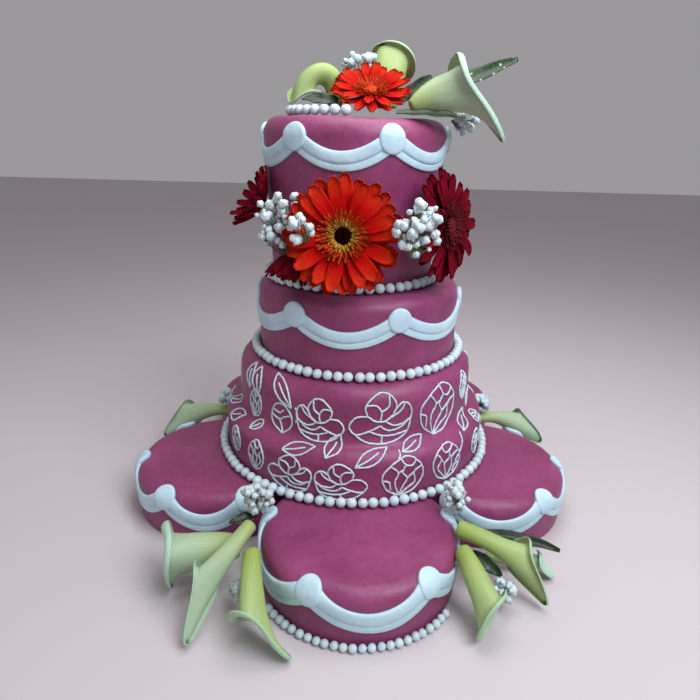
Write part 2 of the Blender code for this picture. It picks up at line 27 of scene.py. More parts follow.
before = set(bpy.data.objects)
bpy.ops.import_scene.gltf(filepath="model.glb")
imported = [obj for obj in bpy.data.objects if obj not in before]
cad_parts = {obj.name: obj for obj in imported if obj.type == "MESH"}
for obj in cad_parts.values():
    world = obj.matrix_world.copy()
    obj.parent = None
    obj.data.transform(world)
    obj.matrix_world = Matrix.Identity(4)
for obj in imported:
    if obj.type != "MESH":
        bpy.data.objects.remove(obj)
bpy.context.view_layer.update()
print("frame loaded:", len(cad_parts), "solids")


# sRGB to linear: (c + 0.055) / 1.055 to the power 2.4, or c / 12.92 near black
def toLinear(hexColour):
    parts = [int(hexColour[i:i + 2], 16) / 255 for i in (1, 3, 5)]
    return tuple(c / 12.92 if c <= 0.04045 else ((c + 0.055) / 1.055) ** 2.4 for c in parts) + (1.0,)


# adds one node, sets its properties, and fills or links its inputs
def addNode(tree, kind, sockets=None, **settings):
    node = tree.nodes.new(kind)
    for name, value in settings.items():
        setattr(node, name, value)
    for name, value in (sockets or {}).items():
        if isinstance(value, bpy.types.NodeSocket):
            tree.links.new(value, node.inputs[name])
        else:
            node.inputs[name].default_value = value
    return node


# a new material whose Principled sockets are set to these constants
def startMaterial(name, **constants):
    material = bpy.data.materials.new(name)
    material.use_nodes = True
    tree = material.node_tree
    shader = tree.nodes["Principled BSDF"]
    for socket, value in constants.items():
        shader.inputs[socket.replace("_", " ")].default_value = value
    return material, tree, shader


# colour ramp over a factor, its stops given as (place, hex colour)
def ramp(tree, factor, *stops):
    node = addNode(tree, "ShaderNodeValToRGB", {"Fac": factor})
    while len(node.color_ramp.elements) < len(stops):
        node.color_ramp.elements.new(0.5)
    for element, (place, colour) in zip(node.color_ramp.elements, stops):
        element.position = place
        element.color = toLinear(colour)
    return node.outputs["Color"]


# noise from 0 to 1, with this many waves a metre
def noise(tree, vector, scale, detail=2.0):
    node = addNode(tree, "ShaderNodeTexNoise", {"Vector": vector, "Scale": scale, "Detail": detail})
    return node.outputs["Fac"]


# two colours mixed: a colour mix has its factor in input 0, its colours in 6 and 7, its result in output 2
def mixColour(tree, factor, first, second, blend="MIX"):
    node = addNode(tree, "ShaderNodeMix", data_type="RGBA", blend_type=blend)
    for index, value in ((0, factor), (6, first), (7, second)):
        if isinstance(value, bpy.types.NodeSocket):
            tree.links.new(value, node.inputs[index])
        else:
            node.inputs[index].default_value = value
    return node.outputs[2]


# bump for a height from 0 to 1 that stands for a distance in metres
def bump(tree, height, distance, strength=1.0, normal=None):
    sockets = {"Height": height, "Distance": distance, "Strength": strength}
    if normal:
        sockets["Normal"] = normal
    return addNode(tree, "ShaderNodeBump", sockets).outputs["Normal"]


# rolled sugar paste coloured plum, smoothed by hand: satin, faintly mottled, with the soft dimples of
# the smoother
def plumFondant():
    material, tree, shader = startMaterial("plum_rolled_fondant", Roughness=0.44, IOR=1.45)
    place = addNode(tree, "ShaderNodeTexCoord").outputs["Object"]
    cloud = noise(tree, place, 1 / 0.055, 3.0)      # mottling about 55 mm across
    speck = noise(tree, place, 1 / 0.006, 4.0)      # kneaded colour, 6 mm
    base = ramp(tree, cloud, (0.36, "#82365F"), (0.66, "#93426D"))
    fine = ramp(tree, speck, (0.38, "#F4F1F3"), (0.62, "#FFFFFF"))
    tree.links.new(mixColour(tree, 1.0, base, fine, "MULTIPLY"), shader.inputs["Base Color"])
    rough = addNode(tree, "ShaderNodeMapRange",
                    {"Value": cloud, "From Min": 0.3, "From Max": 0.7, "To Min": 0.40, "To Max": 0.50})
    tree.links.new(rough.outputs["Result"], shader.inputs["Roughness"])
    dimple = bump(tree, noise(tree, place, 1 / 0.016), 0.0010)      # 16 mm apart
    # sugar grain, drawn at 1.6 mm because the real one is too fine to show
    grain = bump(tree, noise(tree, place, 1 / 0.0016), 0.00010, normal=dimple)
    tree.links.new(grain, shader.inputs["Normal"])
    return material


# white sugar paste rolled thin and cut: cool white, matt to satin; its grain is drawn coarse enough to show
def whiteFondant(name, low, high, roughness, grain):
    material, tree, shader = startMaterial(name, Roughness=roughness, IOR=1.45)
    place = addNode(tree, "ShaderNodeTexCoord").outputs["Object"]
    base = ramp(tree, noise(tree, place, 1 / 0.02, 3.0), (0.35, low), (0.65, high))
    tree.links.new(base, shader.inputs["Base Color"])
    soft = bump(tree, noise(tree, place, 1 / 0.007), 0.0006)        # shallow hollows, 7 mm
    fine = bump(tree, noise(tree, place, 1 / grain), 0.00012, normal=soft)
    tree.links.new(fine, shader.inputs["Normal"])
    return material


# gerbera ray: velvety petal with seven lengthwise grooves, deeper at the root and brighter at the tip
def petalVelvet(name, root, middle, tip, grooves=7):
    material, tree, shader = startMaterial(name, Roughness=0.65, IOR=1.40, Specular_IOR_Level=0.06)
    uv = addNode(tree, "ShaderNodeTexCoord").outputs["UV"]
    parts = addNode(tree, "ShaderNodeSeparateXYZ", {"Vector": uv})
    along = ramp(tree, parts.outputs["Y"], (0.0, root), (0.55, middle), (1.0, tip))
    place = addNode(tree, "ShaderNodeTexCoord").outputs["Object"]
    blotch = ramp(tree, noise(tree, place, 1 / 0.008), (0.3, "#DDD2D2"), (0.7, "#FFFFFF"))
    tree.links.new(mixColour(tree, 1.0, along, blotch, "MULTIPLY"), shader.inputs["Base Color"])
    angle = addNode(tree, "ShaderNodeMath", {0: parts.outputs["X"], 1: grooves * math.pi},
                    operation="MULTIPLY")
    wave = addNode(tree, "ShaderNodeMath", {0: angle.outputs[0]}, operation="COSINE")
    tree.links.new(bump(tree, wave.outputs[0], 0.0002, 0.45), shader.inputs["Normal"])
    return material


rimPlace, darkTip = 0.86, "#35391F"      # a spathe's lengthwise coordinate at the rim, and its tip's colour


# calla spathe: waxy, yellow-green at the stalk, paling to a creamy rim, with fine lengthwise veins
def callaWax(name, stalk, body, rim, inside):
    material, tree, shader = startMaterial(name, Roughness=0.42, IOR=1.42, Subsurface_Weight=0.08,
                                           Subsurface_Scale=0.004, Specular_IOR_Level=0.3)
    uv = addNode(tree, "ShaderNodeTexCoord").outputs["UV"]
    parts = addNode(tree, "ShaderNodeSeparateXYZ", {"Vector": uv})
    along = ramp(tree, parts.outputs["Y"], (0.0, stalk), (0.45, body), (rimPlace, rim), (0.93, rim),
                 (1.0, darkTip))
    stretch = addNode(tree, "ShaderNodeMapping", {"Vector": uv, "Scale": (46.0, 1.2, 1.0)})
    vein = noise(tree, stretch.outputs["Vector"], 1.0)
    tint = ramp(tree, vein, (0.38, "#F0F3EA"), (0.62, "#FFFFFF"))
    isInside = addNode(tree, "ShaderNodeMath", {0: parts.outputs["X"], 1: 1.5}, operation="GREATER_THAN")
    colour = mixColour(tree, isInside.outputs[0], along, toLinear(inside))
    tree.links.new(mixColour(tree, 1.0, colour, tint, "MULTIPLY"), shader.inputs["Base Color"])
    tree.links.new(bump(tree, vein, 0.0001, 0.4), shader.inputs["Normal"])
    return material


# thick dark foliage: leathery, glossier than the petals, with a paler rib
def darkLeaf(name, shade, rib, specks):
    material, tree, shader = startMaterial(name, Roughness=0.38, IOR=1.45)
    uv = addNode(tree, "ShaderNodeTexCoord").outputs["UV"]
    place = addNode(tree, "ShaderNodeTexCoord").outputs["Object"]
    parts = addNode(tree, "ShaderNodeSeparateXYZ", {"Vector": uv})
    across = addNode(tree, "ShaderNodeMath", {0: parts.outputs["X"]}, operation="ABSOLUTE")
    base = ramp(tree, across.outputs[0], (0.0, rib), (0.10, shade), (1.0, shade))
    patch = ramp(tree, noise(tree, place, 1 / 0.006, 3.0), (0.35, "#B9C2B4"), (0.65, "#FFFFFF"))
    colour = mixColour(tree, 1.0, base, patch, "MULTIPLY")
    if specks:                                       # pale spots about 1.5 mm wide, 6 mm apart
        cell = addNode(tree, "ShaderNodeTexVoronoi", {"Vector": place, "Scale": 1 / 0.006})
        spot = addNode(tree, "ShaderNodeMapRange", {"Value": cell.outputs["Distance"], "From Min": 0.16,
                                                    "From Max": 0.22, "To Min": 1.0, "To Max": 0.0})
        colour = mixColour(tree, spot.outputs["Result"], colour, toLinear("#B9C7B0"))
    tree.links.new(colour, shader.inputs["Base Color"])
    tree.links.new(bump(tree, noise(tree, place, 1 / 0.003), 0.0004), shader.inputs["Normal"])
    return material


# a small plant part of one kind of tissue with a little mottling
def plainTissue(name, low, high, roughness, size, gloss=0.3):
    material, tree, shader = startMaterial(name, Roughness=roughness, IOR=1.42, Specular_IOR_Level=gloss)
    place = addNode(tree, "ShaderNodeTexCoord").outputs["Object"]
    mottled = noise(tree, place, 1 / size)
    tree.links.new(ramp(tree, mottled, (0.35, low), (0.65, high)), shader.inputs["Base Color"])
    tree.links.new(bump(tree, mottled, 0.0004), shader.inputs["Normal"])
    return material


looks = {
    "plum": plumFondant(),
    "swag": whiteFondant("white_rolled_fondant", "#B5D3E0", "#C3DFEA", 0.46, 0.0012),
    "bead": whiteFondant("sugar_beads", "#BFD3DA", "#D0E2E6", 0.38, 0.0015),
    "piping": whiteFondant("piped_royal_icing", "#BFD3DC", "#CFE0E6", 0.55, 0.0009),
    "orange": petalVelvet("orange_gerbera_ray", "#9A0A06", "#BC0C08", "#D03418"),
    "red": petalVelvet("dark_red_gerbera_ray", "#44020E", "#640418", "#7A0A22"),
    "floret": plainTissue("orange_inner_floret", "#A81C0A", "#BE4A1A", 0.6, 0.002, 0.1),
    "yellow": plainTissue("yellow_disc_floret", "#94641C", "#C4933A", 0.6, 0.002, 0.1),
    "redFloret": plainTissue("dark_inner_floret", "#4C0816", "#6C2226", 0.6, 0.002, 0.1),
    "eye": plainTissue("brown_disc", "#0C0202", "#1C0604", 0.8, 0.0015, 0.0),
    "calla": callaWax("green_calla_spathe", "#95A956", "#9EB46C", "#A8BE84", "#A9C9A8"),
    "callaPale": callaWax("pale_calla_spathe", "#A0B068", "#A7BD94", "#AAC2A8", "#B2D2C0"),
    "spadix": plainTissue("yellow_spadix", "#C9A640", "#DDBC55", 0.7, 0.0015),
    "leaf": darkLeaf("dark_foliage", "#22361F", "#3E5634", False),
    "speckled": darkLeaf("speckled_strap_leaf", "#21401F", "#33562C", True),
    "blossom": plainTissue("white_gypsophila_petal", "#B4C6C8", "#DCE8EA", 0.7, 0.003),
    "stem": plainTissue("thin_green_stem", "#4A5636", "#66704A", 0.6, 0.004),
}
print("materials made:", len(looks))


# A stack of closed rings joined in order, with the middle of the first and last ring as poles.
# Leading axes are copies; each copy whose signed volume is negative has its faces turned round.
def shell(grid, uv=None, look=0):
    rows, ring = grid.shape[-3], grid.shape[-2]
    grid = grid.reshape(-1, rows, ring, 3)
    copies = len(grid)
    points = np.concatenate([grid.mean(2)[:, :1], grid.reshape(copies, -1, 3), grid.mean(2)[:, -1:]], 1)
    cell = np.arange(rows * ring).reshape(rows, ring) + 1
    after = np.roll(cell, -1, axis=1)
    quads = np.stack([cell[:-1], after[:-1], after[1:], cell[1:]], -1).reshape(-1, 4)
    first = np.stack([np.zeros(ring, int), after[0], cell[0]], -1)
    last = np.stack([np.full(ring, rows * ring + 1), cell[-1], after[-1]], -1)
    tris = np.concatenate([first, last])
    corners = np.concatenate([tris, quads[:, :3], quads[:, [0, 2, 3]]])
    a, b, c = (points[:, corners[:, k]] - points.mean(1)[:, None] for k in range(3))
    inward = np.einsum("nij,nij->n", a, np.cross(b, c)) < 0
    start = (np.arange(copies) * points.shape[1])[:, None, None]
    quads, tris = quads[None] + start, tris[None] + start
    quads[inward] = quads[inward][:, :, ::-1]
    tris[inward] = tris[inward][:, :, ::-1]
    if uv is None:
        uv = np.zeros((rows, ring, 2))
    uv = np.broadcast_to(uv, grid.shape[:3] + (2,)).reshape(copies, rows, ring, 2)
    uv = np.concatenate([uv.mean(2)[:, :1], uv.reshape(copies, -1, 2), uv.mean(2)[:, -1:]], 1)
    return {"points": points.reshape(-1, 3), "quads": quads.reshape(-1, 4), "tris": tris.reshape(-1, 3),
            "uv": uv.reshape(-1, 2), "look": look}


# Puts shells into one mesh piece that rides on the cake and stands for the nodes named
def makePiece(name, shells, materials, slotName, *replaced):
    offsets = np.cumsum([0] + [len(s["points"]) for s in shells])[:-1]
    points = np.concatenate([s["points"] for s in shells])
    loops = np.concatenate([np.concatenate([(s["quads"] + o).ravel(), (s["tris"] + o).ravel()])
                            for s, o in zip(shells, offsets)])
    sizes = np.concatenate([np.repeat([4, 3], [len(s["quads"]), len(s["tris"])]) for s in shells])
    indices = np.repeat([s["look"] for s in shells], [len(s["quads"]) + len(s["tris"]) for s in shells])
    mesh = bpy.data.meshes.new(name)
    mesh.vertices.add(len(points))
    mesh.vertices.foreach_set("co", points.astype(np.float32).ravel())
    mesh.loops.add(len(loops))
    mesh.loops.foreach_set("vertex_index", loops.astype(np.int32))
    mesh.polygons.add(len(sizes))
    mesh.polygons.foreach_set("loop_start", (np.cumsum(sizes) - sizes).astype(np.int32))
    mesh.polygons.foreach_set("material_index", indices.astype(np.int32))
    mesh.update(calc_edges=True)
    uv = np.concatenate([s["uv"] for s in shells])
    mesh.uv_layers.new(name="surface").data.foreach_set("uv", uv[loops].astype(np.float32).ravel())
    mesh.shade_smooth()
    for material in materials:
        mesh.materials.append(looks[material])
    piece = bpy.data.objects.new(name, mesh)
    bpy.context.scene.collection.objects.link(piece)
    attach(piece, "root")
    if replaced:
        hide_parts(*replaced)


# vectors brought to length 1
def unit(vectors):
    return vectors / np.linalg.norm(vectors, axis=-1, keepdims=True)


# Rings of a round section along a path: each ring lies across the path, squared to a guide direction
def tube(path, radius, guide, sides):
    along = unit(np.gradient(path, axis=-2))
    across = unit(np.cross(along, np.broadcast_to(guide, path.shape)))[..., None, :]
    up = np.cross(across, along[..., None, :])
    turn = np.linspace(0, 2 * np.pi, sides, endpoint=False)[:, None]
    radius = np.broadcast_to(radius, path.shape[:-1])[..., None, None]
    return path[..., None, :] + radius * (across * np.cos(turn) + up * np.sin(turn))


# Quadratic curve from base to end, bent towards the middle point, for an array of shares t
def bent(base, bend, end, t):
    base, bend, end = (np.asarray(p, float)[..., None, :] for p in (base, bend, end))
    t = t[:, None]
    return base * (1 - t) ** 2 + bend * 2 * t * (1 - t) + end * t ** 2


# Points of a ball of radius 1, in rings between its poles, with the rise and the turn of each
def unitBall(rings, sides):
    up = np.linspace(-np.pi / 2, np.pi / 2, rings + 2)[1:-1, None]
    turn = np.linspace(0, 2 * np.pi, sides, endpoint=False)
    points = np.broadcast_arrays(np.cos(up) * np.cos(turn), np.cos(up) * np.sin(turn), np.sin(up))
    return np.stack(points, -1), up, turn


# the drums: radii, height and rounding in metres; centre and base say where each stands; lower is the outer
# radius, middle height and rounding of a ledge
cakeSize = {"top": 0.087, "foot": 0.087, "height": 0.050, "shoulder": 0.013}
backReach, backTurn = 0.152, math.radians(37.5)          # the two back cakes, seen from the middle
backX, backY = backReach * math.sin(backTurn), backReach * math.cos(backTurn)
drums = {
    "cake_front": {**cakeSize, "centre": (0.0075, -0.168), "base": 0.0},
    "cake_right": {**cakeSize, "centre": (0.137, -0.050), "base": 0.0},
    "cake_back_right": {**cakeSize, "centre": (backX, backY), "base": 0.0},
    "cake_back_left": {**cakeSize, "centre": (-backX, backY), "base": 0.0},
    "cake_left": {**cakeSize, "centre": (-0.140, -0.053), "base": 0.0},
    "rose_tier": {"top": 0.124, "foot": 0.141, "height": 0.110, "shoulder": 0.018, "centre": (0.0, 0.0),
                  "base": 0.0503, "lower": (0.141, 0.0525, 0.0145)},
    "middle_tier": {"top": 0.104, "foot": 0.104, "height": 0.077, "shoulder": 0.015, "centre": (0.0015, 0.0),
                    "base": 0.1606},
    "top_tier": {"top": 0.0885, "foot": 0.081, "height": 0.152, "shoulder": 0.016, "centre": (-0.006, 0.0),
                 "base": 0.2379},
}
# radius on which a foot turns under, where a ledge's arc ends and how high its sweep goes, points taken
drumShape = {"footArc": 0.0025, "ledgeTurn": np.radians(75), "sweepTop": 0.064, "points": 400}


# Points (r, z) of an arc about a middle, from its outermost point upwards
def arcPoints(r, z, size, turn):
    return np.stack([r + size * np.cos(turn), z + size * np.sin(turn)], 1)


# Points (r, z) from the foot up the wall, round the shoulder and in to the axis, evenly spaced along it.
# The foot turns under on a small arc; a two-storey drum has a round ledge that sweeps up into its upper wall.
# The travel is counted so that it is the height, up a straight wall.
def drumOutline(drum):
    shoulder, under = drum["shoulder"], drumShape["footArc"]
    turn = np.linspace(0, np.pi / 2, 40)
    parts = [np.stack([drum["foot"] - under + under * np.sin(turn), under - under * np.cos(turn)], 1)]
    if "lower" in drum:
        ledgeR, ledgeZ, ledge = drum["lower"]
        ledgeTurn = drumShape["ledgeTurn"]
        parts.append(arcPoints(ledgeR - ledge, ledgeZ - ledge, ledge, turn[turn <= ledgeTurn]))
        end = parts[-1][-1]
        corner = (drum["top"], end[1] + (end[0] - drum["top"]) / math.tan(ledgeTurn))
        parts.append(bent(end, corner, (drum["top"], drumShape["sweepTop"]), np.linspace(0, 1, 20)[1:]))
    parts.append(arcPoints(drum["top"] - shoulder, drum["height"] - shoulder, shoulder, turn))
    parts.append(np.array([[0.0, drum["height"]]]))
    outline = np.concatenate(parts)
    travel = np.concatenate([[0], np.cumsum(np.linalg.norm(np.diff(outline, axis=0), axis=1))])
    even = np.linspace(0, travel[-1], drumShape["points"])
    outline = np.stack([np.interp(even, travel, outline[:, k]) for k in (0, 1)], 1)
    slope = unit(np.gradient(outline, axis=0))
    return even - under * (np.pi / 2 - 1), outline, np.stack([slope[:, 1], -slope[:, 0]], 1)


for index, drum in enumerate(drums.values()):
    drum["travel"], drum["outline"], drum["out"] = drumOutline(drum)
    drum["phase"] = np.random.default_rng(40 + index).uniform(0, 2 * np.pi, 8)


# Point on a drum at an angle from straight ahead (+ to the right), a travel up from its foot and a lift
# off it. The paste is up to 0.75 mm thicker or thinner, as slow waves that fade out at the foot and at the
# middle of the top: height in metres, waves round the drum, and radians a metre up it.
def onDrum(name, degrees, travel, lift):
    drum = drums[name]
    turn = np.radians(degrees)
    r, z, outR, outZ = (np.interp(travel, drum["travel"], column) for column in
                        (*drum["outline"].T, *drum["out"].T))
    p = drum["phase"]
    swell = (0.00035 * np.sin(2 * turn + p[0]) * np.cos(travel * 45 + p[1])
             + 0.00025 * np.sin(5 * turn + p[2]) * np.sin(travel * 80 + p[3])
             + 0.00015 * np.sin(11 * turn + p[4]) * np.sin(travel * 130 + p[5]))
    lift = lift + swell * np.clip(r / 0.03, 0, 1) * np.clip(z / 0.004, 0, 1)
    reach = r + outR * lift
    x, y = drum["centre"]
    return np.stack(np.broadcast_arrays(x + reach * np.sin(turn), y - reach * np.cos(turn),
                                        drum["base"] + z + outZ * lift), -1)


drumMesh = {"columns": 168, "rowsUp": 64, "rowsTop": 18, "pole": 0.0008}      # pole: the last ring's radius
for name, drum in drums.items():
    top = drum["travel"][-1]
    edge = top - (drum["top"] - drum["shoulder"])
    rows = np.concatenate([np.linspace(drum["travel"][0], edge, drumMesh["rowsUp"]),
                           np.linspace(edge, top, drumMesh["rowsTop"])[1:-1], [top - drumMesh["pole"]]])
    degrees = np.linspace(0, 360, drumMesh["columns"], endpoint=False)
    skin = onDrum(name, degrees[None, :], rows[:, None], 0.0)
    makePiece("fondant_" + name, [shell(skin)], ["plum"], "plum_fondant", name)
print("drums made:", len(drums))

# bead borders, in metres: height is that of a full ball's middle over its tier's foot; smallest, squash and
# dents are shares of a ball's radius, alongRow and offRow are how far a ball strays
beads = {"radius": 0.0050, "pitch": 0.010, "clear": 0.0001, "height": 0.0053, "rings": 7, "sides": 12,
         "smallest": 0.93, "squash": 0.98, "dents": 0.015, "alongRow": 0.0003, "offRow": 0.0002}
smallBeads = {"radius": 0.0037, "pitch": 0.0074, "span": 112}
topBeads = {"arcRadius": 0.063, "start": 187, "span": 80}


# Balls of slightly uneven size in a row along an arc, each a little low and unevenly round
def beadRow(name, centre, arcRadius, height, start, span, seed, replaced, kind=beads):
    draw = np.random.default_rng(seed)
    radius = kind["radius"]
    count = round(math.radians(span) * arcRadius / kind["pitch"])
    first = 0 if span >= 360 else 0.5                    # an open row starts half a pitch in
    turn = np.radians(start) + np.radians(span) * (np.arange(count) + first) / count
    turn = turn + draw.normal(0, beads["alongRow"] / arcRadius, count)
    size = radius * draw.uniform(beads["smallest"], 1.0, count)
    reach = arcRadius + draw.normal(0, beads["offRow"], count)
    middle = np.stack([centre[0] + reach * np.cos(turn), centre[1] + reach * np.sin(turn),
                       height - radius + size], 1)
    ball = unitBall(beads["rings"], beads["sides"])[0] * (1, 1, beads["squash"])
    dents = 1 + draw.normal(0, beads["dents"], (count,) + ball.shape[:2] + (1,))
    balls = middle[:, None, None] + size[:, None, None, None] * ball * dents
    makePiece(name, [shell(balls)], ["bead"], "white_fondant", replaced)


# the top tier leans out over its beads, which stand 0.8 mm further off
off = beads["radius"] + beads["clear"]
for seed, (name, spread) in enumerate((("rose_tier", 0.0), ("middle_tier", 0.0), ("top_tier", 0.0008))):
    drum = drums[name]
    beadRow("sugar_beads_" + name, drum["centre"], drum["foot"] + spread + off,
            drum["base"] + beads["height"], 0, 360, 50 + seed, "beads_" + name)
front, top = drums["cake_front"], drums["top_tier"]
beadRow("sugar_beads_cake_front", front["centre"], front["foot"] + smallBeads["radius"] + beads["clear"],
        smallBeads["radius"] + beads["clear"], -90 - smallBeads["span"] / 2, smallBeads["span"], 60,
        "beads_cake_front", smallBeads)
beadRow("sugar_beads_on_top", top["centre"], topBeads["arcRadius"],
        top["base"] + top["height"] + beads["height"], topBeads["start"], topBeads["span"], 70,
        "beads_on_top")
print("bead borders made")

# swags: disc angles in degrees from straight ahead; travel of the discs, sag and width of the strip in metres
tierSwag = {"sag": 0.0185, "width": 0.0168}
cakeSwag = {"travel": 0.0445, "sag": 0.020, "width": 0.0185}
swags = {
    "top_tier": {**tierSwag, "travel": 0.1345, "discs": [-35, 21, 82, 143, 204, 265, 325]},
    "middle_tier": {**tierSwag, "travel": 0.057, "discs": [-34, 21, 82, 143, 204, 265, 326]},
    "cake_front": {**cakeSwag, "discs": [-98, -27, 41, 101]},
    "cake_right": {**cakeSwag, "discs": [-29, 36, 88, 141]},
    "cake_back_right": {**cakeSwag, "discs": [78, 143, 208]},
    "cake_back_left": {**cakeSwag, "discs": [152, 217, 282]},
    "cake_left": {**cakeSwag, "discs": [-137, -82, -27, 28]},
}
# section of the strip: share of the width from its lower edge, and height off the wall in mm
section = np.array([(-0.500, 0.0), (-0.500, 0.9), (-0.490, 1.5), (-0.465, 1.85), (-0.42, 2.0),
                    (-0.30, 2.05), (-0.19, 1.95), (-0.155, 1.65), (-0.135, 1.55), (-0.11, 1.8),
                    (-0.08, 2.4), (-0.03, 2.75), (0.06, 2.95), (0.17, 3.0), (0.28, 2.9), (0.39, 2.6),
                    (0.455, 2.15), (0.488, 1.5), (0.5, 0.8), (0.5, 0.0), (0.25, -0.4), (-0.25, -0.4)])
# section of a disc: share of its radius, and height off the wall in mm
button = np.array([(1.0, -0.4), (1.0, 1.8), (0.985, 2.7), (0.95, 3.4), (0.89, 3.8), (0.8, 4.0), (0.6, 4.15),
                   (0.35, 4.25), (0.12, 4.3)])
# disc, dent in metres; how much a strip's width and height and a disc's outline swing, as shares
handCut = {"disc": 0.0118, "dent": 0.00018, "wide": 0.03, "high": 0.05, "oval": 0.02, "steps": 56,
           "sides": 40}

# a strip hangs as a parabola from disc to disc, its section turned square to its slope
for name, swag in swags.items():
    draw = np.random.default_rng(len(name) + 7)
    radius, discs = drums[name]["top"], swag["discs"]
    shells = []
    for left, right in zip(discs, discs[1:]):
        t = np.linspace(0.02, 0.98, handCut["steps"])[:, None]
        slope = -swag["sag"] * 4 * (1 - 2 * t) / (np.radians(right - left) * radius)
        tilt = np.arctan(slope)
        travel = swag["travel"] - swag["sag"] * 4 * t * (1 - t)
        wide = swag["width"] * (1 + handCut["wide"] * np.sin(5 * t + draw.uniform(0, 6)))
        side = section[:, 0] * wide
        degrees = left + (right - left) * t - np.degrees(side * np.sin(tilt) / radius)
        lift = section[:, 1] * mm * (1 + handCut["high"] * np.sin(9 * t + draw.uniform(0, 6)))
        shells.append(shell(onDrum(name, degrees, travel + side * np.cos(tilt), lift)))
    closed = discs[-1] - discs[0] >= 360                 # the last disc is the first one again
    for degrees in discs[:-1] if closed else discs:
        turn = np.linspace(0, 2 * np.pi, handCut["sides"], endpoint=False)
        size = handCut["disc"] * draw.uniform(0.98, 1.03)
        size = size * (1 + handCut["oval"] * np.sin(2 * turn + draw.uniform(0, 6)))
        dent = handCut["dent"] * np.sin(3 * turn + draw.uniform(0, 6)) * button[:, :1]
        reach = button[:, :1] * size
        shells.append(shell(onDrum(name, degrees + np.degrees(reach * np.sin(turn) / radius),
                                   swag["travel"] + reach * np.cos(turn), button[:, 1:] * mm + dent)))
    makePiece("swag_strips_" + name, shells, ["swag"], "white_fondant", "swags_" + name)
print("swags made:", len(swags))

# Motifs of the piping, drawn in a box from -1 to 1: each row is one line of icing, a list of across
# and up in turn
motifs = {
    "openRose": [
        [-0.45, 0.1, -0.52, 0.45, -0.3, 0.78, 0, 0.95, 0.3, 0.8, 0.45, 0.45, 0.35, 0.1],
        [-0.45, 0.1, -0.2, -0.1, 0.1, -0.12, 0.35, 0.1],
        [-0.05, -0.1, -0.02, 0.25, -0.2, 0.5, -0.5, 0.5],
        [-0.02, 0.25, 0.2, 0.45, 0.22, 0.82],
        [-0.45, 0.1, -0.8, 0.05, -1, -0.3, -0.8, -0.62, -0.4, -0.5, -0.05, -0.3],
        [0.4, 0.3, 0.65, 0.55, 0.9, 0.4, 0.97, 0, 0.75, -0.25, 0.4, -0.32, 0.1, -0.12],
        [0.1, -0.12, 0.35, 0.05, 0.6, 0.25, 0.72, 0.5],
        [-0.85, -0.6, -0.5, -0.9, 0, -1, 0.5, -0.9, 0.85, -0.6, 0.97, 0],
        [-0.05, -0.3, 0.2, -0.5, 0.55, -0.45, 0.85, -0.2],
        [-0.4, -0.5, 0, -0.68, 0.4, -0.7, 0.85, -0.6],
        [0.02, -0.68, 0, -1]],
    "sideRose": [
        [-0.1, -1, -0.7, -0.65, -0.95, 0, -0.65, 0.55, -0.2, 0.9],
        [-0.1, -1, 0.55, -0.75, 0.95, -0.1, 0.85, 0.5, 0.5, 0.85],
        [-0.2, 0.9, 0.1, 1, 0.5, 0.85, 0.35, 0.55, 0.05, 0.6, -0.2, 0.9],
        [-0.65, 0.55, -0.25, 0.2, -0.35, -0.3, -0.1, -1],
        [0.05, 0.6, -0.05, 0.2, 0.2, -0.1, 0.05, -0.5, -0.1, -1],
        [0.85, 0.5, 0.5, 0.2, 0.6, -0.3, 0.3, -0.6, -0.1, -1],
        [-0.25, 0.2, 0, 0.35],
        [0.2, -0.1, 0.5, 0.2],
        [-0.9, -0.2, -0.6, -0.3, -0.5, -0.7]],
    "bud": [
        [0, -1, -0.8, -0.4, -0.85, 0.3, -0.35, 0.95, 0.4, 0.95, 0.85, 0.25, 0.7, -0.5, 0, -1],
        [-0.85, 0.3, -0.2, -0.05, 0.2, 0.1, 0.85, 0.25],
        [-0.2, -0.05, -0.1, -0.5, 0, -1],
        [-0.6, 0.6, -0.1, 0.4, 0.3, 0.6]],
    "leaf": [
        [0, -1, -0.75, -0.35, -0.7, 0.35, 0, 1],
        [0, 1, 0.7, 0.3, 0.75, -0.35, 0, -1],
        [0, -0.95, 0.08, -0.2, 0, 0.4]],
    "stem": [[0, -1, 0.6, 0, 0, 1]],
}
# where a motif stands on the two-storey tier: degrees from straight ahead and travel in mm, half its width
# (mirrored below zero) and half its height in mm, and its lean to the right in degrees
roses = [
    ("openRose", 12, 88, 32, 26, 0), ("sideRose", 41, 86, 26, 26, 12), ("openRose", -15, 84, -25, 22, 0),
    ("bud", -33.5, 76, 15, 15, -10), ("leaf", -34, 105, 9, 20, -42), ("stem", -26, 84, 3, 8, 0),
    ("openRose", -25, 25, 22, 19, 8), ("leaf", -22, 51, 8, 16, 72), ("openRose", -4.5, 24, -23, 19, -4),
    ("leaf", -8, 59, 9, 14, 24), ("leaf", 7.5, 49, 8, 18, 58), ("sideRose", 19.5, 27, 20, 20, 5),
    ("leaf", 25.5, 58, 8, 15, 62), ("stem", 18, 49, 2, 5, 15), ("sideRose", 40.5, 29, -19, 19, 10),
    ("leaf", 59, 59, 8, 16, 52), ("stem", 48, 38, 5, 15, 25),
]
edgeSprays = [
    ("sideRose", 62, 96, 10, 15, 0), ("leaf", 72, 74, 8, 10, 35), ("bud", 70, 50, 8, 8, 0),
    ("bud", 64, 26, 11, 14, 0), ("stem", 74, 30, 4, 16, 0), ("leaf", -58, 105, 9, 14, -6),
    ("leaf", -51, 104, 10, 15, -14), ("sideRose", -52, 79, 12, 15, 0), ("leaf", -63, 52, 9, 13, 60),
    ("sideRose", -58, 30, 11, 14, 0), ("sideRose", -42, 29, 11, 16, 0), ("leaf", -47, 58, 7, 9, 30),
]
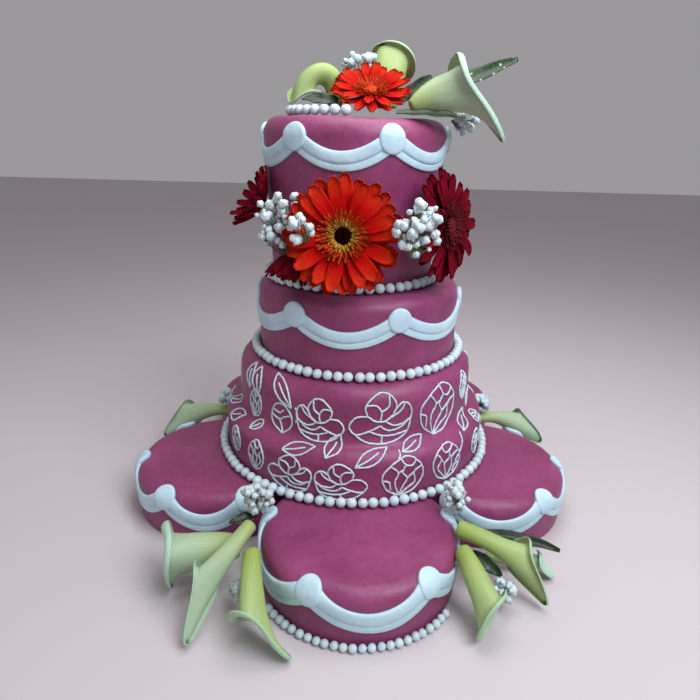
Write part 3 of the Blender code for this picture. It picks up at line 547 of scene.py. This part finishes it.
# turns: how far round the group of roses is repeated; inside: a lift under the wall, to find the way out;
# shake in metres, shakeTurn turns it into degrees; the wave and grain of the width, and the ends, are shares
piping = {"radius": 0.00090, "step": 0.0010, "lift": 0.00055, "inside": -0.01, "turns": (126, -134),
          "sides": 6, "mmPerDegree": 2.3, "wallRadius": 0.135, "shake": 0.00012, "shakeTurn": 400,
          "wave": 0.10, "grain": 0.05, "ends": 0.7}


# A smooth line through its points (Catmull-Rom), then taken at even steps along its length in metres
def smoothLine(points, reach):
    padded = np.concatenate([2 * points[:1] - points[1:2], points, 2 * points[-1:] - points[-2:-1]])
    t = np.linspace(0, 1, 9)[:-1, None]
    a, b, c, d = (padded[k:len(padded) - 3 + k, None] for k in range(4))
    curve = 0.5 * (2 * b + (c - a) * t + (2 * a - 5 * b + 4 * c - d) * t ** 2
                   + (3 * b - a - 3 * c + d) * t ** 3)
    curve = np.concatenate([curve.reshape(-1, 2), points[-1:]])
    length = np.concatenate([[0], np.cumsum(np.hypot(*(np.diff(curve, axis=0) * reach).T))])
    even = np.linspace(0, length[-1], max(4, round(length[-1] / piping["step"]) + 1))
    return np.stack([np.interp(even, length, curve[:, k]) for k in (0, 1)], 1)


draw = np.random.default_rng(90)
shells = []
places = [(place[1] + turned, place) for turned in (0,) + piping["turns"] for place in roses]
places += [(place[1], place) for place in edgeSprays]
for degrees, (motif, _, travel, halfWidth, halfHeight, lean) in places:
    spin = np.array(Matrix.Rotation(math.radians(lean), 2))          # leans it to the right
    for row in motifs[motif]:
        points = np.array(row, float).reshape(-1, 2) * (halfWidth, halfHeight) @ spin
        points = points / (piping["mmPerDegree"], 1) + (degrees, travel)
        line = smoothLine(points * (1, mm), (math.radians(piping["wallRadius"]), 1))
        count = len(line)
        along = np.linspace(0, 1, count)
        line = line + draw.normal(0, piping["shake"], (count, 2)) * (piping["shakeTurn"], 1)
        wide = piping["radius"] * (1 + piping["wave"] * np.sin(40 * along + draw.uniform(0, 6))
                                   + draw.normal(0, piping["grain"], count))
        wide[[0, -1]] *= piping["ends"]
        path = onDrum("rose_tier", line[:, 0], line[:, 1], piping["lift"])
        foot = onDrum("rose_tier", line[:, 0], line[:, 1], piping["inside"])
        shells.append(shell(tube(path, wide, unit(path - foot), piping["sides"])))
makePiece("piped_roses", shells, ["piping"], "white_fondant")
print("rose piping made:", len(shells), "lines")

# gerberas: facing is where the head looks; cup is how far the tips rise and width how wide a petal is, per
# radius; count and second are the petals of its two rings; ring tells whether the eye shows; no petal stands
# within the gaps, in degrees round the head
orangeHead = {"look": "orange", "floret": "floret", "ring": False, "gaps": []}
redHead = {"look": "red", "floret": "redFloret", "ring": False, "gaps": []}
gerberas = {
    "gerbera_orange": {**orangeHead, "centre": (-0.0133, -0.108, 0.2945), "facing": (-0.03, -0.96, 0.20),
                       "radius": 0.052, "cup": 0.04, "seed": 5, "count": 24, "second": 15, "width": 0.27,
                       "ring": True, "gaps": [(74, 88)]},
    "gerbera_top": {**orangeHead, "centre": (0.008, -0.025, 0.4125), "facing": (0.02, -0.58, 0.81),
                    "radius": 0.0375, "cup": 0.14, "seed": 3, "count": 16, "second": 10, "width": 0.25},
    "gerbera_red_right": {**redHead, "centre": (0.081, -0.070, 0.300), "facing": (0.80, -0.59, 0.12),
                          "radius": 0.051, "cup": -0.08, "seed": 6, "count": 26, "second": 18, "width": 0.23},
    "gerbera_red_upper_left": {**redHead, "centre": (-0.0925, -0.036, 0.312), "facing": (-0.84, -0.26, 0.48),
                               "radius": 0.033, "cup": 0.45, "seed": 7, "count": 18, "second": 12,
                               "width": 0.24},
    "gerbera_red_lower_left": {**redHead, "centre": (-0.058, -0.085, 0.273), "facing": (-0.26, -0.30, -0.92),
                               "radius": 0.020, "cup": 1.10, "seed": 8, "count": 14, "second": 10,
                               "width": 0.36},
}


# a blade: the share of its width at the root, the shares of its length where it is full and where it tapers
# and over which it rounds off; its teeth as a share of its length, its channel and ribs of its width
blade = {"root": 0.36, "full": 0.62, "taper": 0.74, "round": 0.29, "teeth": 0.035, "channel": 0.16,
         "ribs": 0.03}


# Blades round an axis: each runs from reachIn to reachOut while it rises, is as wide as its width at two
# thirds of its length, is channelled along its middle and ends in a blunt toothed tip
def blades(turn, reachIn, reachOut, base, rise, width, thick, curl, rowCount, colCount):
    t = np.linspace(0, 1, rowCount)[None, :, None]
    c = np.linspace(-1, 1, colCount)[None, None, :]
    turn, reachIn, reachOut, base, rise, width, curl = np.stack(
        np.broadcast_arrays(turn, reachIn, reachOut, base, rise, width, curl))[..., None, None]
    grown = np.sin(np.pi / 2 * np.clip(t / blade["full"], 0, 1))
    half = width / 2 * (blade["root"] + (1 - blade["root"]) * grown)
    half = half * np.sqrt(np.clip(1 - np.clip((t - blade["taper"]) / blade["round"], 0, 1) ** 2, 0.02, 1))
    tooth = (reachOut - reachIn) * blade["teeth"] * np.cos(3 * np.pi * c) * t ** 6
    reach = reachIn + (reachOut - reachIn) * t + tooth
    channel = width * (blade["channel"] * c ** 2 + blade["ribs"] * np.cos(4 * np.pi * c)) * t
    lift = base + rise * t ** 1.6 + curl * np.sin(np.pi * t) + channel
    side = half * c
    x, y = reach * np.cos(turn) - side * np.sin(turn), reach * np.sin(turn) + side * np.cos(turn)
    top, under = (np.stack(np.broadcast_arrays(x, y, lift - drop), -1) for drop in (0.0, thick))
    uv = np.stack(np.broadcast_arrays(c[0], t[0]), -1)
    return np.concatenate([top, under[:, :, ::-1]], 2), np.concatenate([uv, uv[:, ::-1]], 1)


# Points given with +Z as the flower's axis, turned and moved so that the axis looks along facing
def faceTowards(points, flower):
    turn = np.array(Vector(flower["facing"]).to_track_quat("Z", "Y").to_matrix())
    return points @ turn.T + np.asarray(flower["centre"])


# rings of a head, from the rays inwards: number of blades; where they start and end, their base, rise, width
# and curl, all as shares of the head's radius; thickness in metres; place among the piece's materials
def headRings(flower):
    cup, wide = flower["cup"], flower["width"]
    crown = 2 if flower["ring"] else 1
    return [(flower["count"], 0.16, 1.0, -0.02, cup - 0.02, wide, 0.0, 0.0006, 0),
            (flower["second"], 0.14, 0.93, 0.02, cup + 0.04, wide * 0.95, 0.02, 0.0006, 0),
            (34, 0.20, 0.47, 0.03, 0.07 + cup * 0.3, 0.055, 0.0, 0.0005, 1),
            (38, 0.18, 0.38, 0.045, 0.09 + cup * 0.2, 0.045, 0.0, 0.0005, 1),
            (46, 0.15, 0.29, 0.06, 0.07, 0.026, 0.0, 0.0007, crown),
            (40, 0.13, 0.23, 0.07, 0.055, 0.026, 0.0, 0.0007, crown)]


# spacing as a share of the pitch, length, rise and curl as shares of the radius; points along and across
uneven = {"spacing": 0.3, "shortest": 0.92, "rise": 0.035, "curl": 0.02}
rayMesh, floretMesh = (9, 7), (4, 3)
# the eye is a low dome of tight buds, rippled in spirals, and the calyx and stalk stand behind the head
eye = {"radius": 0.17, "height": 0.09, "base": 0.02, "ripple": 0.005, "rings": 12, "sides": 48}
calyx = {"base": 0.02, "length": 0.45, "at": (0, 0.3, 0.5, 1), "radii": (0.17, 0.14, 0.06, 0.05),
         "sides": 12}

for name, flower in gerberas.items():
    draw = np.random.default_rng(flower["seed"])
    radius = flower["radius"]
    shells = []
    for number, reachIn, reachOut, base, rise, width, curl, thick, look in headRings(flower):
        turn = 2 * np.pi * (np.arange(number) + draw.uniform(-uneven["spacing"], uneven["spacing"], number))
        turn = turn / number
        for low, high in flower["gaps"] if look == 0 else []:
            degrees = np.degrees(turn) % 360
            turn = turn[(degrees <= low) | (degrees >= high)]
        count = len(turn)
        reach = radius * reachOut * draw.uniform(uneven["shortest"], 1.0, count)
        rise = radius * (rise + draw.normal(0, uneven["rise"], count))
        curl = radius * (curl + draw.normal(0, uneven["curl"], count))
        grid, uv = blades(turn, reachIn * radius, reach, base * radius, rise, width * radius, thick, curl,
                          *(rayMesh if look == 0 else floretMesh))
        shells.append(shell(faceTowards(grid, flower), uv, look))
    share = np.linspace(0.02, 1, eye["rings"])[:, None]
    turn = np.linspace(0, 2 * np.pi, eye["sides"], endpoint=False)
    ripple = eye["ripple"] * np.sin(8 * turn + 22 * share) * np.sin(8 * turn - 22 * share)
    height = eye["height"] * np.sqrt(1.02 - share ** 2) + eye["base"] + ripple
    dome = np.stack(np.broadcast_arrays(eye["radius"] * share * np.cos(turn),
                                        eye["radius"] * share * np.sin(turn), height), -1)
    shells.append(shell(faceTowards(dome * radius, flower), None, 3 if flower["ring"] else 1))
    depth = np.linspace(0, 1, 8)
    stalk = np.stack([0 * depth, 0 * depth, calyx["base"] - depth * calyx["length"]], 1) * radius
    stalk = tube(stalk, radius * np.interp(depth, calyx["at"], calyx["radii"]), (1, 0, 0), calyx["sides"])
    shells.append(shell(faceTowards(stalk, flower), None, 4))
    makePiece(name + "_head", shells, [flower["look"], flower["floret"], "yellow", "eye", "stem"],
              "orange_petal" if flower["look"] == "orange" else "dark_red_petal", name)
print("gerberas made:", len(gerberas))

# callas: base, middle and mouth are points of the trumpet's arc, then its tip; stalk and mouth radii in
# metres, how late it flares, how narrow its pointed lip is, how far the back of the mouth stays behind as a
# share of its radius, and its material
callas = {
    "calla_top_left": [(-0.0307, -0.006, 0.4005), (-0.0405, -0.0085, 0.428), (-0.0555, -0.0115, 0.4165),
                       (-0.0655, -0.016, 0.4015), 0.0078, 0.0115, 0.8, 2.2, 0.1, "calla"],
    "calla_top_middle": [(0.0225, 0.027, 0.401), (0.0235, 0.0305, 0.4215), (0.0262, 0.039, 0.4385),
                         (0.018, 0.04, 0.459), 0.0120, 0.0170, 0.8, 1.0, 0.0, "calla"],
    "calla_top_right": [(0.043, -0.0475, 0.399), (0.0592, -0.0449, 0.4068), (0.082, -0.044, 0.4135),
                        (0.1253, -0.05, 0.375), 0.0055, 0.0200, 0.9, 2.0, 0.0, "callaPale"],
    "calla_front_left_wide": [(-0.099, -0.179, 0.031), (-0.1258, -0.1887, 0.0335), (-0.153, -0.196, 0.0345),
                              (-0.151, -0.206, 0.012), 0.0085, 0.0185, 0.6, 2.0, 0.0, "callaPale"],
    "calla_front_left_tube": [(-0.086, -0.188, 0.06), (-0.0988, -0.2092, 0.0515), (-0.112, -0.225, 0.038),
                              (-0.1239, -0.2621, 0.008), 0.0066, 0.0112, 3.0, 3.2, 0.2, "callaPale"],
    "calla_front_left_green": [(-0.0815, -0.208, 0.048), (-0.0772, -0.233, 0.0403), (-0.0735, -0.252, 0.027),
                               (-0.044, -0.2715, 0.006), 0.0072, 0.0130, 2.4, 3.4, 0.2, "calla"],
    "calla_front_right_upper": [(0.094, -0.174, 0.052), (0.1197, -0.1835, 0.047), (0.143, -0.19, 0.036),
                                (0.166, -0.213, 0.009), 0.0072, 0.0125, 2.8, 3.0, 0.2, "calla"],
    "calla_front_right_lower": [(0.0955, -0.196, 0.044), (0.1027, -0.2198, 0.0393), (0.1095, -0.235, 0.029),
                                (0.1035, -0.249, 0.006), 0.0080, 0.0122, 2.2, 1.1, 0.3, "calla"],
    "calla_front_right_far": [(0.125, -0.16, 0.01), (0.1492, -0.1645, 0.0124), (0.172, -0.17, 0.0135),
                              (0.1835, -0.175, 0.005), 0.0040, 0.0075, 1.2, 2.5, 0.3, "callaPale"],
    "calla_left": [(-0.149, 0.0415, 0.05), (-0.1788, 0.0454, 0.05), (-0.202, 0.046, 0.042),
                   (-0.231, 0.028, 0.024), 0.0055, 0.0125, 1.5, 3.2, 0.3, "callaPale"],
    "calla_right": [(0.15, 0.042, 0.05), (0.1745, 0.0465, 0.05), (0.2, 0.048, 0.042),
                    (0.231, 0.034, 0.026), 0.0055, 0.0125, 1.5, 3.0, 0.3, "callaPale"],
    "calla_back_left": [(-0.006, 0.166, 0.046), (-0.0215, 0.1995, 0.045), (-0.036, 0.232, 0.034),
                        (-0.048, 0.2715, 0.02), 0.0050, 0.0120, 1.5, 2.0, 0.2, "callaPale"],
    "calla_back_right": [(0.006, 0.166, 0.046), (0.018, 0.192, 0.0435), (0.03, 0.214, 0.032),
                         (0.05, 0.241, 0.016), 0.0050, 0.0120, 1.6, 2.0, 0.2, "calla"],
}


# The arc of a circle from base through middle to mouth: its points, the way it runs and the way out from its
# centre at each share t of its length, and its axis
def arcThrough(base, middle, mouth, t):
    first, last = middle - base, mouth - base
    mixed, near, far = np.dot(first, last), np.dot(first, first), np.dot(last, last)
    across = far * (near - mixed) * first + near * (far - mixed) * last
    centre = base + across / (2 * (near * far - mixed ** 2))
    axis = unit(np.cross(first, last))
    start = base - centre
    side = np.cross(axis, start)
    sweep = math.atan2(np.dot(mouth - centre, side), np.dot(mouth - centre, start)) % (2 * math.pi)
    away = start * np.cos(sweep * t)[:, None] + side * np.sin(sweep * t)[:, None]
    return centre + away, np.cross(axis, unit(away)), unit(away), axis


# wall and ground in metres: its thickness, and how low it may come; curlTurn in degrees; depth: the place
# along it where the inside ends; hook: the power that keeps the sideways turn to the very tip; the others are
# shares of the radius
callaLip = {"wall": 0.0009, "ground": 0.0006, "sides": 56, "curlTurn": 190, "curl": 0.20, "pointCurl": 0.05,
            "depth": 0.45, "overlap": 0.05, "wave": 0.09, "sway": 0.04, "frill": 0.16, "hook": 2.5}
spadix = {"radius": 0.0021, "start": 0.45, "end": 0.86, "rings": 12, "sides": 10}


# A trumpet round an arc, as one closed skin: out along the outside, round the curled rim and back inside.
# Its radius grows with the power flare of the way along. Near the mouth the side towards the tip runs out to
# a point, first ahead and then aside, and the other side stays back; the rim curls outwards on an arc that is
# small at the point. The inside carries 2 more in its sideways coordinate, so the material can tell it.
def trumpet(base, middle, mouth, tip, stalk, mouthRadius, flare, strap, slant):
    base, middle, mouth, tip = (np.asarray(p, float) for p in (base, middle, mouth, tip))
    body, inside = np.linspace(0, 1, 26), np.linspace(1, callaLip["depth"], 16)[1:]
    arc = np.radians(np.linspace(0, callaLip["curlTurn"], 11)[1:])
    t = np.concatenate([body, np.ones(2 * len(arc)), inside])
    point, along, away, axis = arcThrough(base, middle, mouth, t)
    t = t[:, None]
    heading, outward = along[len(body) - 1], away[len(body) - 1]
    ahead = heading * np.dot(tip - mouth, heading)
    tipward = unit((tip - mouth) - ahead)
    aside = tip - mouth - ahead - tipward * mouthRadius
    theta = np.concatenate([0 * body, arc, arc[::-1], 0 * inside])[:, None]
    inner = callaLip["wall"] * (np.arange(len(t)) >= len(body) + len(arc))[:, None]
    up = axis * np.dot(axis, tipward) + away * np.dot(outward, tipward)
    across = np.cross(along, up)
    turn = np.linspace(0, 2 * np.pi, callaLip["sides"], endpoint=False) + np.pi
    drawn = np.clip((t - 0.5) / 0.5, 0, 1) ** 2          # from the middle of its length to the mouth
    near = (1 + np.cos(turn)) / 2                        # 1 on the side of the tip, 0 across from it
    radius = stalk + (mouthRadius - stalk) * t ** flare
    overlap = 1 + callaLip["overlap"] * ((turn - np.pi) / (2 * np.pi) - 0.5) * np.clip(t * 1.4, 0, 1)
    ripple = (callaLip["wave"] * np.sin(3 * turn + 1.0 + 1.5 * t) * drawn
              + callaLip["sway"] * np.sin(2 * turn + 5 * t)) * mouthRadius
    curl = mouthRadius * (callaLip["curl"] * (1 - near) ** 0.5 + callaLip["pointCurl"]) + inner
    outwards = radius * overlap + ripple - inner + curl * (1 - np.cos(theta))
    forwards = (curl * np.sin(theta) - slant * mouthRadius * (1 - near) ** 1.4 * drawn
                + callaLip["frill"] * mouthRadius * np.sin(2 * turn + 0.6) * (1 - near) * drawn)
    radial = up[:, None] * np.cos(turn)[:, None] + across[:, None] * np.sin(turn)[:, None]
    grid = point[:, None] + radial * outwards[..., None] + along[:, None] * forwards[..., None]
    lip = (near ** strap * drawn)[..., None]
    grid = grid + ahead * lip + aside * lip ** callaLip["hook"]
    grid[..., 2] = np.maximum(grid[..., 2], callaLip["ground"] + inner)
    tipShade = near ** 24 * (t >= 1)
    lengthwise = rimPlace * t * (1 - tipShade) + tipShade
    sideways = np.abs(turn / np.pi - 2) + 2 * (inner > 0)
    return grid, np.stack(np.broadcast_arrays(sideways, lengthwise), -1)


for name, (base, middle, mouth, tip, *shape, look) in callas.items():
    grid, uv = trumpet(base, middle, mouth, tip, *shape)
    share = np.linspace(spadix["start"], spadix["end"], spadix["rings"])
    core = arcThrough(*(np.array(p) for p in (base, middle, mouth)), share)[0]
    thin = spadix["radius"] * np.sqrt(np.linspace(1, 0.05, spadix["rings"]))
    rod = tube(core, thin, (0.1, 0.3, 1.0), spadix["sides"])
    makePiece(name + "_spathe", [shell(grid, uv), shell(rod, None, 1)], [look, "spadix"], "calla_spathe",
              name)
print("callas made:", len(callas))

# leaves: base, bend and tip of the midrib, width, the way the upper face looks, and the wave of the edges
leaves = {
    "leaf_top_strap": [(0.052, 0.012, 0.414), (0.096, 0.012, 0.424), (0.146, 0.01, 0.447), 0.017,
                       (0, -0.8, 0.6), 0.001, "speckled"],
    "leaf_top_left": [(-0.022, -0.03, 0.4035), (-0.038, -0.03, 0.4055), (-0.055, -0.03, 0.4045), 0.012,
                      (0, -0.7, 0.7), 0.0008, "leaf"],
    "leaf_top_right": [(0.03, -0.058, 0.394), (0.056, -0.062, 0.3945), (0.082, -0.06, 0.393), 0.012,
                       (0, -0.5, 0.85), 0.0008, "leaf"],
    "leaf_front_right": [(0.107, -0.152, 0.027), (0.144, -0.155, 0.036), (0.185, -0.1785, 0.035), 0.012,
                         (0.2, -0.5, 0.8), 0.001, "leaf"],
    "leaf_front_right_low": [(0.106, -0.184, 0.034), (0.118, -0.196, 0.034), (0.129, -0.202, 0.026), 0.012,
                             (-0.3, -0.6, 0.7), 0.001, "leaf"],
    "leaf_side_left": [(-0.0555, -0.0715, 0.317), (-0.049, -0.0745, 0.304), (-0.047, -0.076, 0.286), 0.013,
                       (-0.4, -0.9, 0.1), 0.001, "leaf"],
    "leaf_top_middle": [(0.032, -0.008, 0.404), (0.044, -0.006, 0.414), (0.064, -0.004, 0.429), 0.013,
                        (0, -0.8, 0.6), 0.001, "leaf"],
    "leaf_front_left": [(-0.086, -0.16, 0.05), (-0.096, -0.168, 0.052), (-0.108, -0.172, 0.05), 0.01,
                        (0, -0.5, 0.8), 0.0008, "leaf"],
    "leaf_back": [(0.0, 0.16, 0.056), (0.002, 0.2, 0.066), (0.006, 0.246, 0.046), 0.015, (0, 0.5, 0.8),
                  0.001, "leaf"],
}

# thick in metres; ends is how narrow a leaf's ends are, per width, and fold how steeply its halves rise
leafShape = {"thick": 0.0007, "ends": 0.10, "fold": 0.25, "rows": 40, "columns": 9}


# A blade along a bent rib: widest just before the middle, folded up a little from the rib, its edges waved
def foliage(base, bend, tip, width, face, wave):
    t = np.linspace(0, 1, leafShape["rows"])
    rib = bent(base, bend, tip, t)
    along = unit(np.gradient(rib, axis=0))
    across = unit(np.cross(along, np.asarray(face, float)))
    up = np.cross(across, along)
    c = np.linspace(-1, 1, leafShape["columns"])
    belly = np.sin(np.pi * np.clip(0.12 + 0.86 * t, 0, 1)) ** 0.8
    half = (width / 2 * (leafShape["ends"] + (1 - leafShape["ends"]) * belly))[:, None]
    rise = (leafShape["fold"] * half * np.abs(c) + wave * np.sin(5 * t)[:, None] * c
            + wave * 0.6 * np.sin(17 * t)[:, None] * c ** 2)
    top = rib[:, None] + across[:, None] * (half * c)[..., None] + up[:, None] * rise[..., None]
    under = top - up[:, None] * leafShape["thick"]
    uv = np.stack(np.broadcast_arrays(c, t[:, None]), -1)
    return np.concatenate([top, under[:, ::-1]], 1), np.concatenate([uv, uv[:, ::-1]], 1)


for name, (base, bend, tip, width, face, wave, look) in leaves.items():
    grid, uv = foliage(base, bend, tip, width, face, wave)
    makePiece(name + "_blade", [shell(grid, uv)], [look], "green_leaf", name)
print("leaves made:", len(leaves))

# gypsophila: centre and half-sizes of each bunch, the way it grows, seed, and how many blossoms it has
bunches = {
    "blossom_top_left": [(-0.004, 0.0165, 0.437), (0.008, 0.019, 0.018), (-0.1, 0, 1), 11, 28],
    "blossom_top_right": [(0.098, -0.014, 0.386), (0.010, 0.010, 0.014), (1, 0, -0.25), 12, 18],
    "blossom_side_left": [(-0.0650, -0.0915, 0.303), (0.009, 0.027, 0.032), (-0.1, 0, 1), 13, 70],
    "blossom_side_left_front": [(-0.0480, -0.1215, 0.302), (0.005, 0.012, 0.012), (-0.5, 0, 1), 22, 14],
    "blossom_side_right": [(0.0490, -0.1225, 0.305), (0.008, 0.0205, 0.026), (0.2, 0, 1), 14, 58],
    "blossom_front_left": [(-0.083, -0.162, 0.070), (0.014, 0.012, 0.015), (0, 0, 1), 15, 38],
    "blossom_front_left_low": [(-0.093, -0.2200, 0.018), (0.008, 0.008, 0.012), (0, -0.4, 1), 16, 18],
    "blossom_front_right": [(0.095, -0.154, 0.070), (0.014, 0.012, 0.015), (0, 0, 1), 17, 38],
    "blossom_front_right_low": [(0.128, -0.213, 0.022), (0.010, 0.009, 0.011), (0, -0.3, 1), 18, 20],
    "blossom_left": [(-0.153, 0.040, 0.070), (0.012, 0.011, 0.011), (0, 0, 1), 19, 20],
    "blossom_right": [(0.154, 0.042, 0.070), (0.012, 0.011, 0.011), (0, 0, 1), 20, 20],
    "blossom_back": [(0.001, 0.158, 0.074), (0.012, 0.011, 0.011), (0, 0, 1), 21, 20],
}
# radii and sway, how far a stem strays, in metres; root, where the stems start below the centre, and fill,
# how far out blossoms stand, as shares of the bunch's half-sizes; ruffle: swing, wave and grain of the radius
blossom = {"low": 0.0018, "high": 0.0044, "stem": 0.00035, "sway": 0.0015, "root": 1.05, "fill": 0.92,
           "ruffle": (0.28, 0.13, 0.05), "rings": 6, "sides": 11}


# Ruffled little balls of petals: a sphere whose radius swings with the turn and the height
def blossomBalls(middles, sizes, draw):
    ball, up, turn = unitBall(blossom["rings"], blossom["sides"])
    phase = draw.uniform(0, 6, (len(middles), 3))[:, :, None, None]
    swing, wave, grain = blossom["ruffle"]
    ruffle = (1 + swing * np.sin(5 * turn + phase[:, 0]) * np.cos(up)
              + wave * np.sin(4 * up + 3 * turn + phase[:, 1])
              + draw.normal(0, grain, (len(middles),) + ball.shape[:2]))
    return middles[:, None, None] + sizes[:, None, None, None] * ball * ruffle[..., None]


for name, (centre, size, heading, seed, count) in bunches.items():
    draw = np.random.default_rng(seed)
    turn = np.array(Vector(heading).to_track_quat("Z", "Y").to_matrix())
    spread = unit(draw.normal(0, 1, (count, 3))) * (draw.uniform(0.25, 1.0, (count, 1)) ** 0.5)
    spots = (spread * np.asarray(size) * blossom["fill"]) @ turn.T + np.asarray(centre)
    root = np.asarray(centre) - turn[:, 2] * size[2] * blossom["root"]
    sizes = draw.uniform(blossom["low"], blossom["high"], count)
    bend = (root + spots) / 2 + draw.normal(0, blossom["sway"], (count, 3))
    paths = bent(np.broadcast_to(root, spots.shape), bend, spots, np.linspace(0, 1, 6))
    stems = tube(paths, blossom["stem"], (0.31, 0.52, 0.2), 5)
    makePiece(name + "_sprays", [shell(blossomBalls(spots, sizes, draw)), shell(stems, None, 1)],
              ["blossom", "stem"], "white_blossom", name)
print("bunches made:", len(bunches))

# floor, light and camera; wide is half the floor's side in metres
room = {"wide": 4, "floor": "#C6BEC1", "air": "#E9E6EA", "strength": 0.40}
corners = [(x * room["wide"], y * room["wide"], 0) for x, y in ((-1, -1), (1, -1), (1, 1), (-1, 1))]
floorMesh = bpy.data.meshes.new("floor")
floorMesh.from_pydata(corners, [], [(0, 1, 2, 3)])
floor = bpy.data.objects.new("floor", floorMesh)
bpy.context.scene.collection.objects.link(floor)
floorLook, _, floorShader = startMaterial("pale_matt_paper", Roughness=0.8)
floorShader.inputs["Base Color"].default_value = toLinear(room["floor"])
floorMesh.materials.append(floorLook)

world = bpy.data.worlds.new("soft_room")
world.use_nodes = True
background = world.node_tree.nodes["Background"]
background.inputs["Color"].default_value = toLinear(room["air"])
background.inputs["Strength"].default_value = room["strength"]
bpy.context.scene.world = world
bpy.context.scene.view_settings.view_transform = "Standard"

# softboxes: where each stands, what it looks at, its size in metres, power in watts and tint
softboxes = {
    "window": [(0.50, -0.62, 0.98), (0.0, 0.0, 0.26), 0.6, 10.5, "#F4F7FF"],
    "overhead": [(0.08, -0.02, 0.86), (0.0, 0.0, 0.3), 0.55, 3.8, "#FFFFFF"],
    "bounce": [(-1.1, -0.6, 0.5), (0.0, 0.0, 0.15), 1.2, 1.2, "#FFF2F4"],
}
for name, (place, target, size, power, tint) in softboxes.items():
    lamp = bpy.data.lights.new(name, "AREA")
    lamp.size, lamp.energy, lamp.color = size, power, toLinear(tint)[:3]
    stand = bpy.data.objects.new(name, lamp)
    stand.location = place
    stand.rotation_euler = (Vector(target) - Vector(place)).to_track_quat("-Z", "Y").to_euler()
    bpy.context.scene.collection.objects.link(stand)

# the photograph's view: place in metres, tilt and roll in radians, lens in mm
view = {"place": (0.0, -0.596, 0.3754), "tilt": 0.3468, "roll": 0.027, "lens": 29.64,
        "shift": (-0.0084, -0.0103)}
camera = bpy.data.objects.new("camera", bpy.data.cameras.new("camera"))
camera.data.sensor_width, camera.data.lens = 36.0, view["lens"]
camera.data.shift_x, camera.data.shift_y = view["shift"]
camera.data.clip_start = 0.01
camera.matrix_world = (Matrix.Translation(view["place"]) @ Matrix.Rotation(math.pi / 2 - view["tilt"], 4, "X")
                       @ Matrix.Rotation(view["roll"], 4, "Z"))
bpy.context.scene.collection.objects.link(camera)
bpy.context.scene.camera = camera
print("floor, light and camera placed")
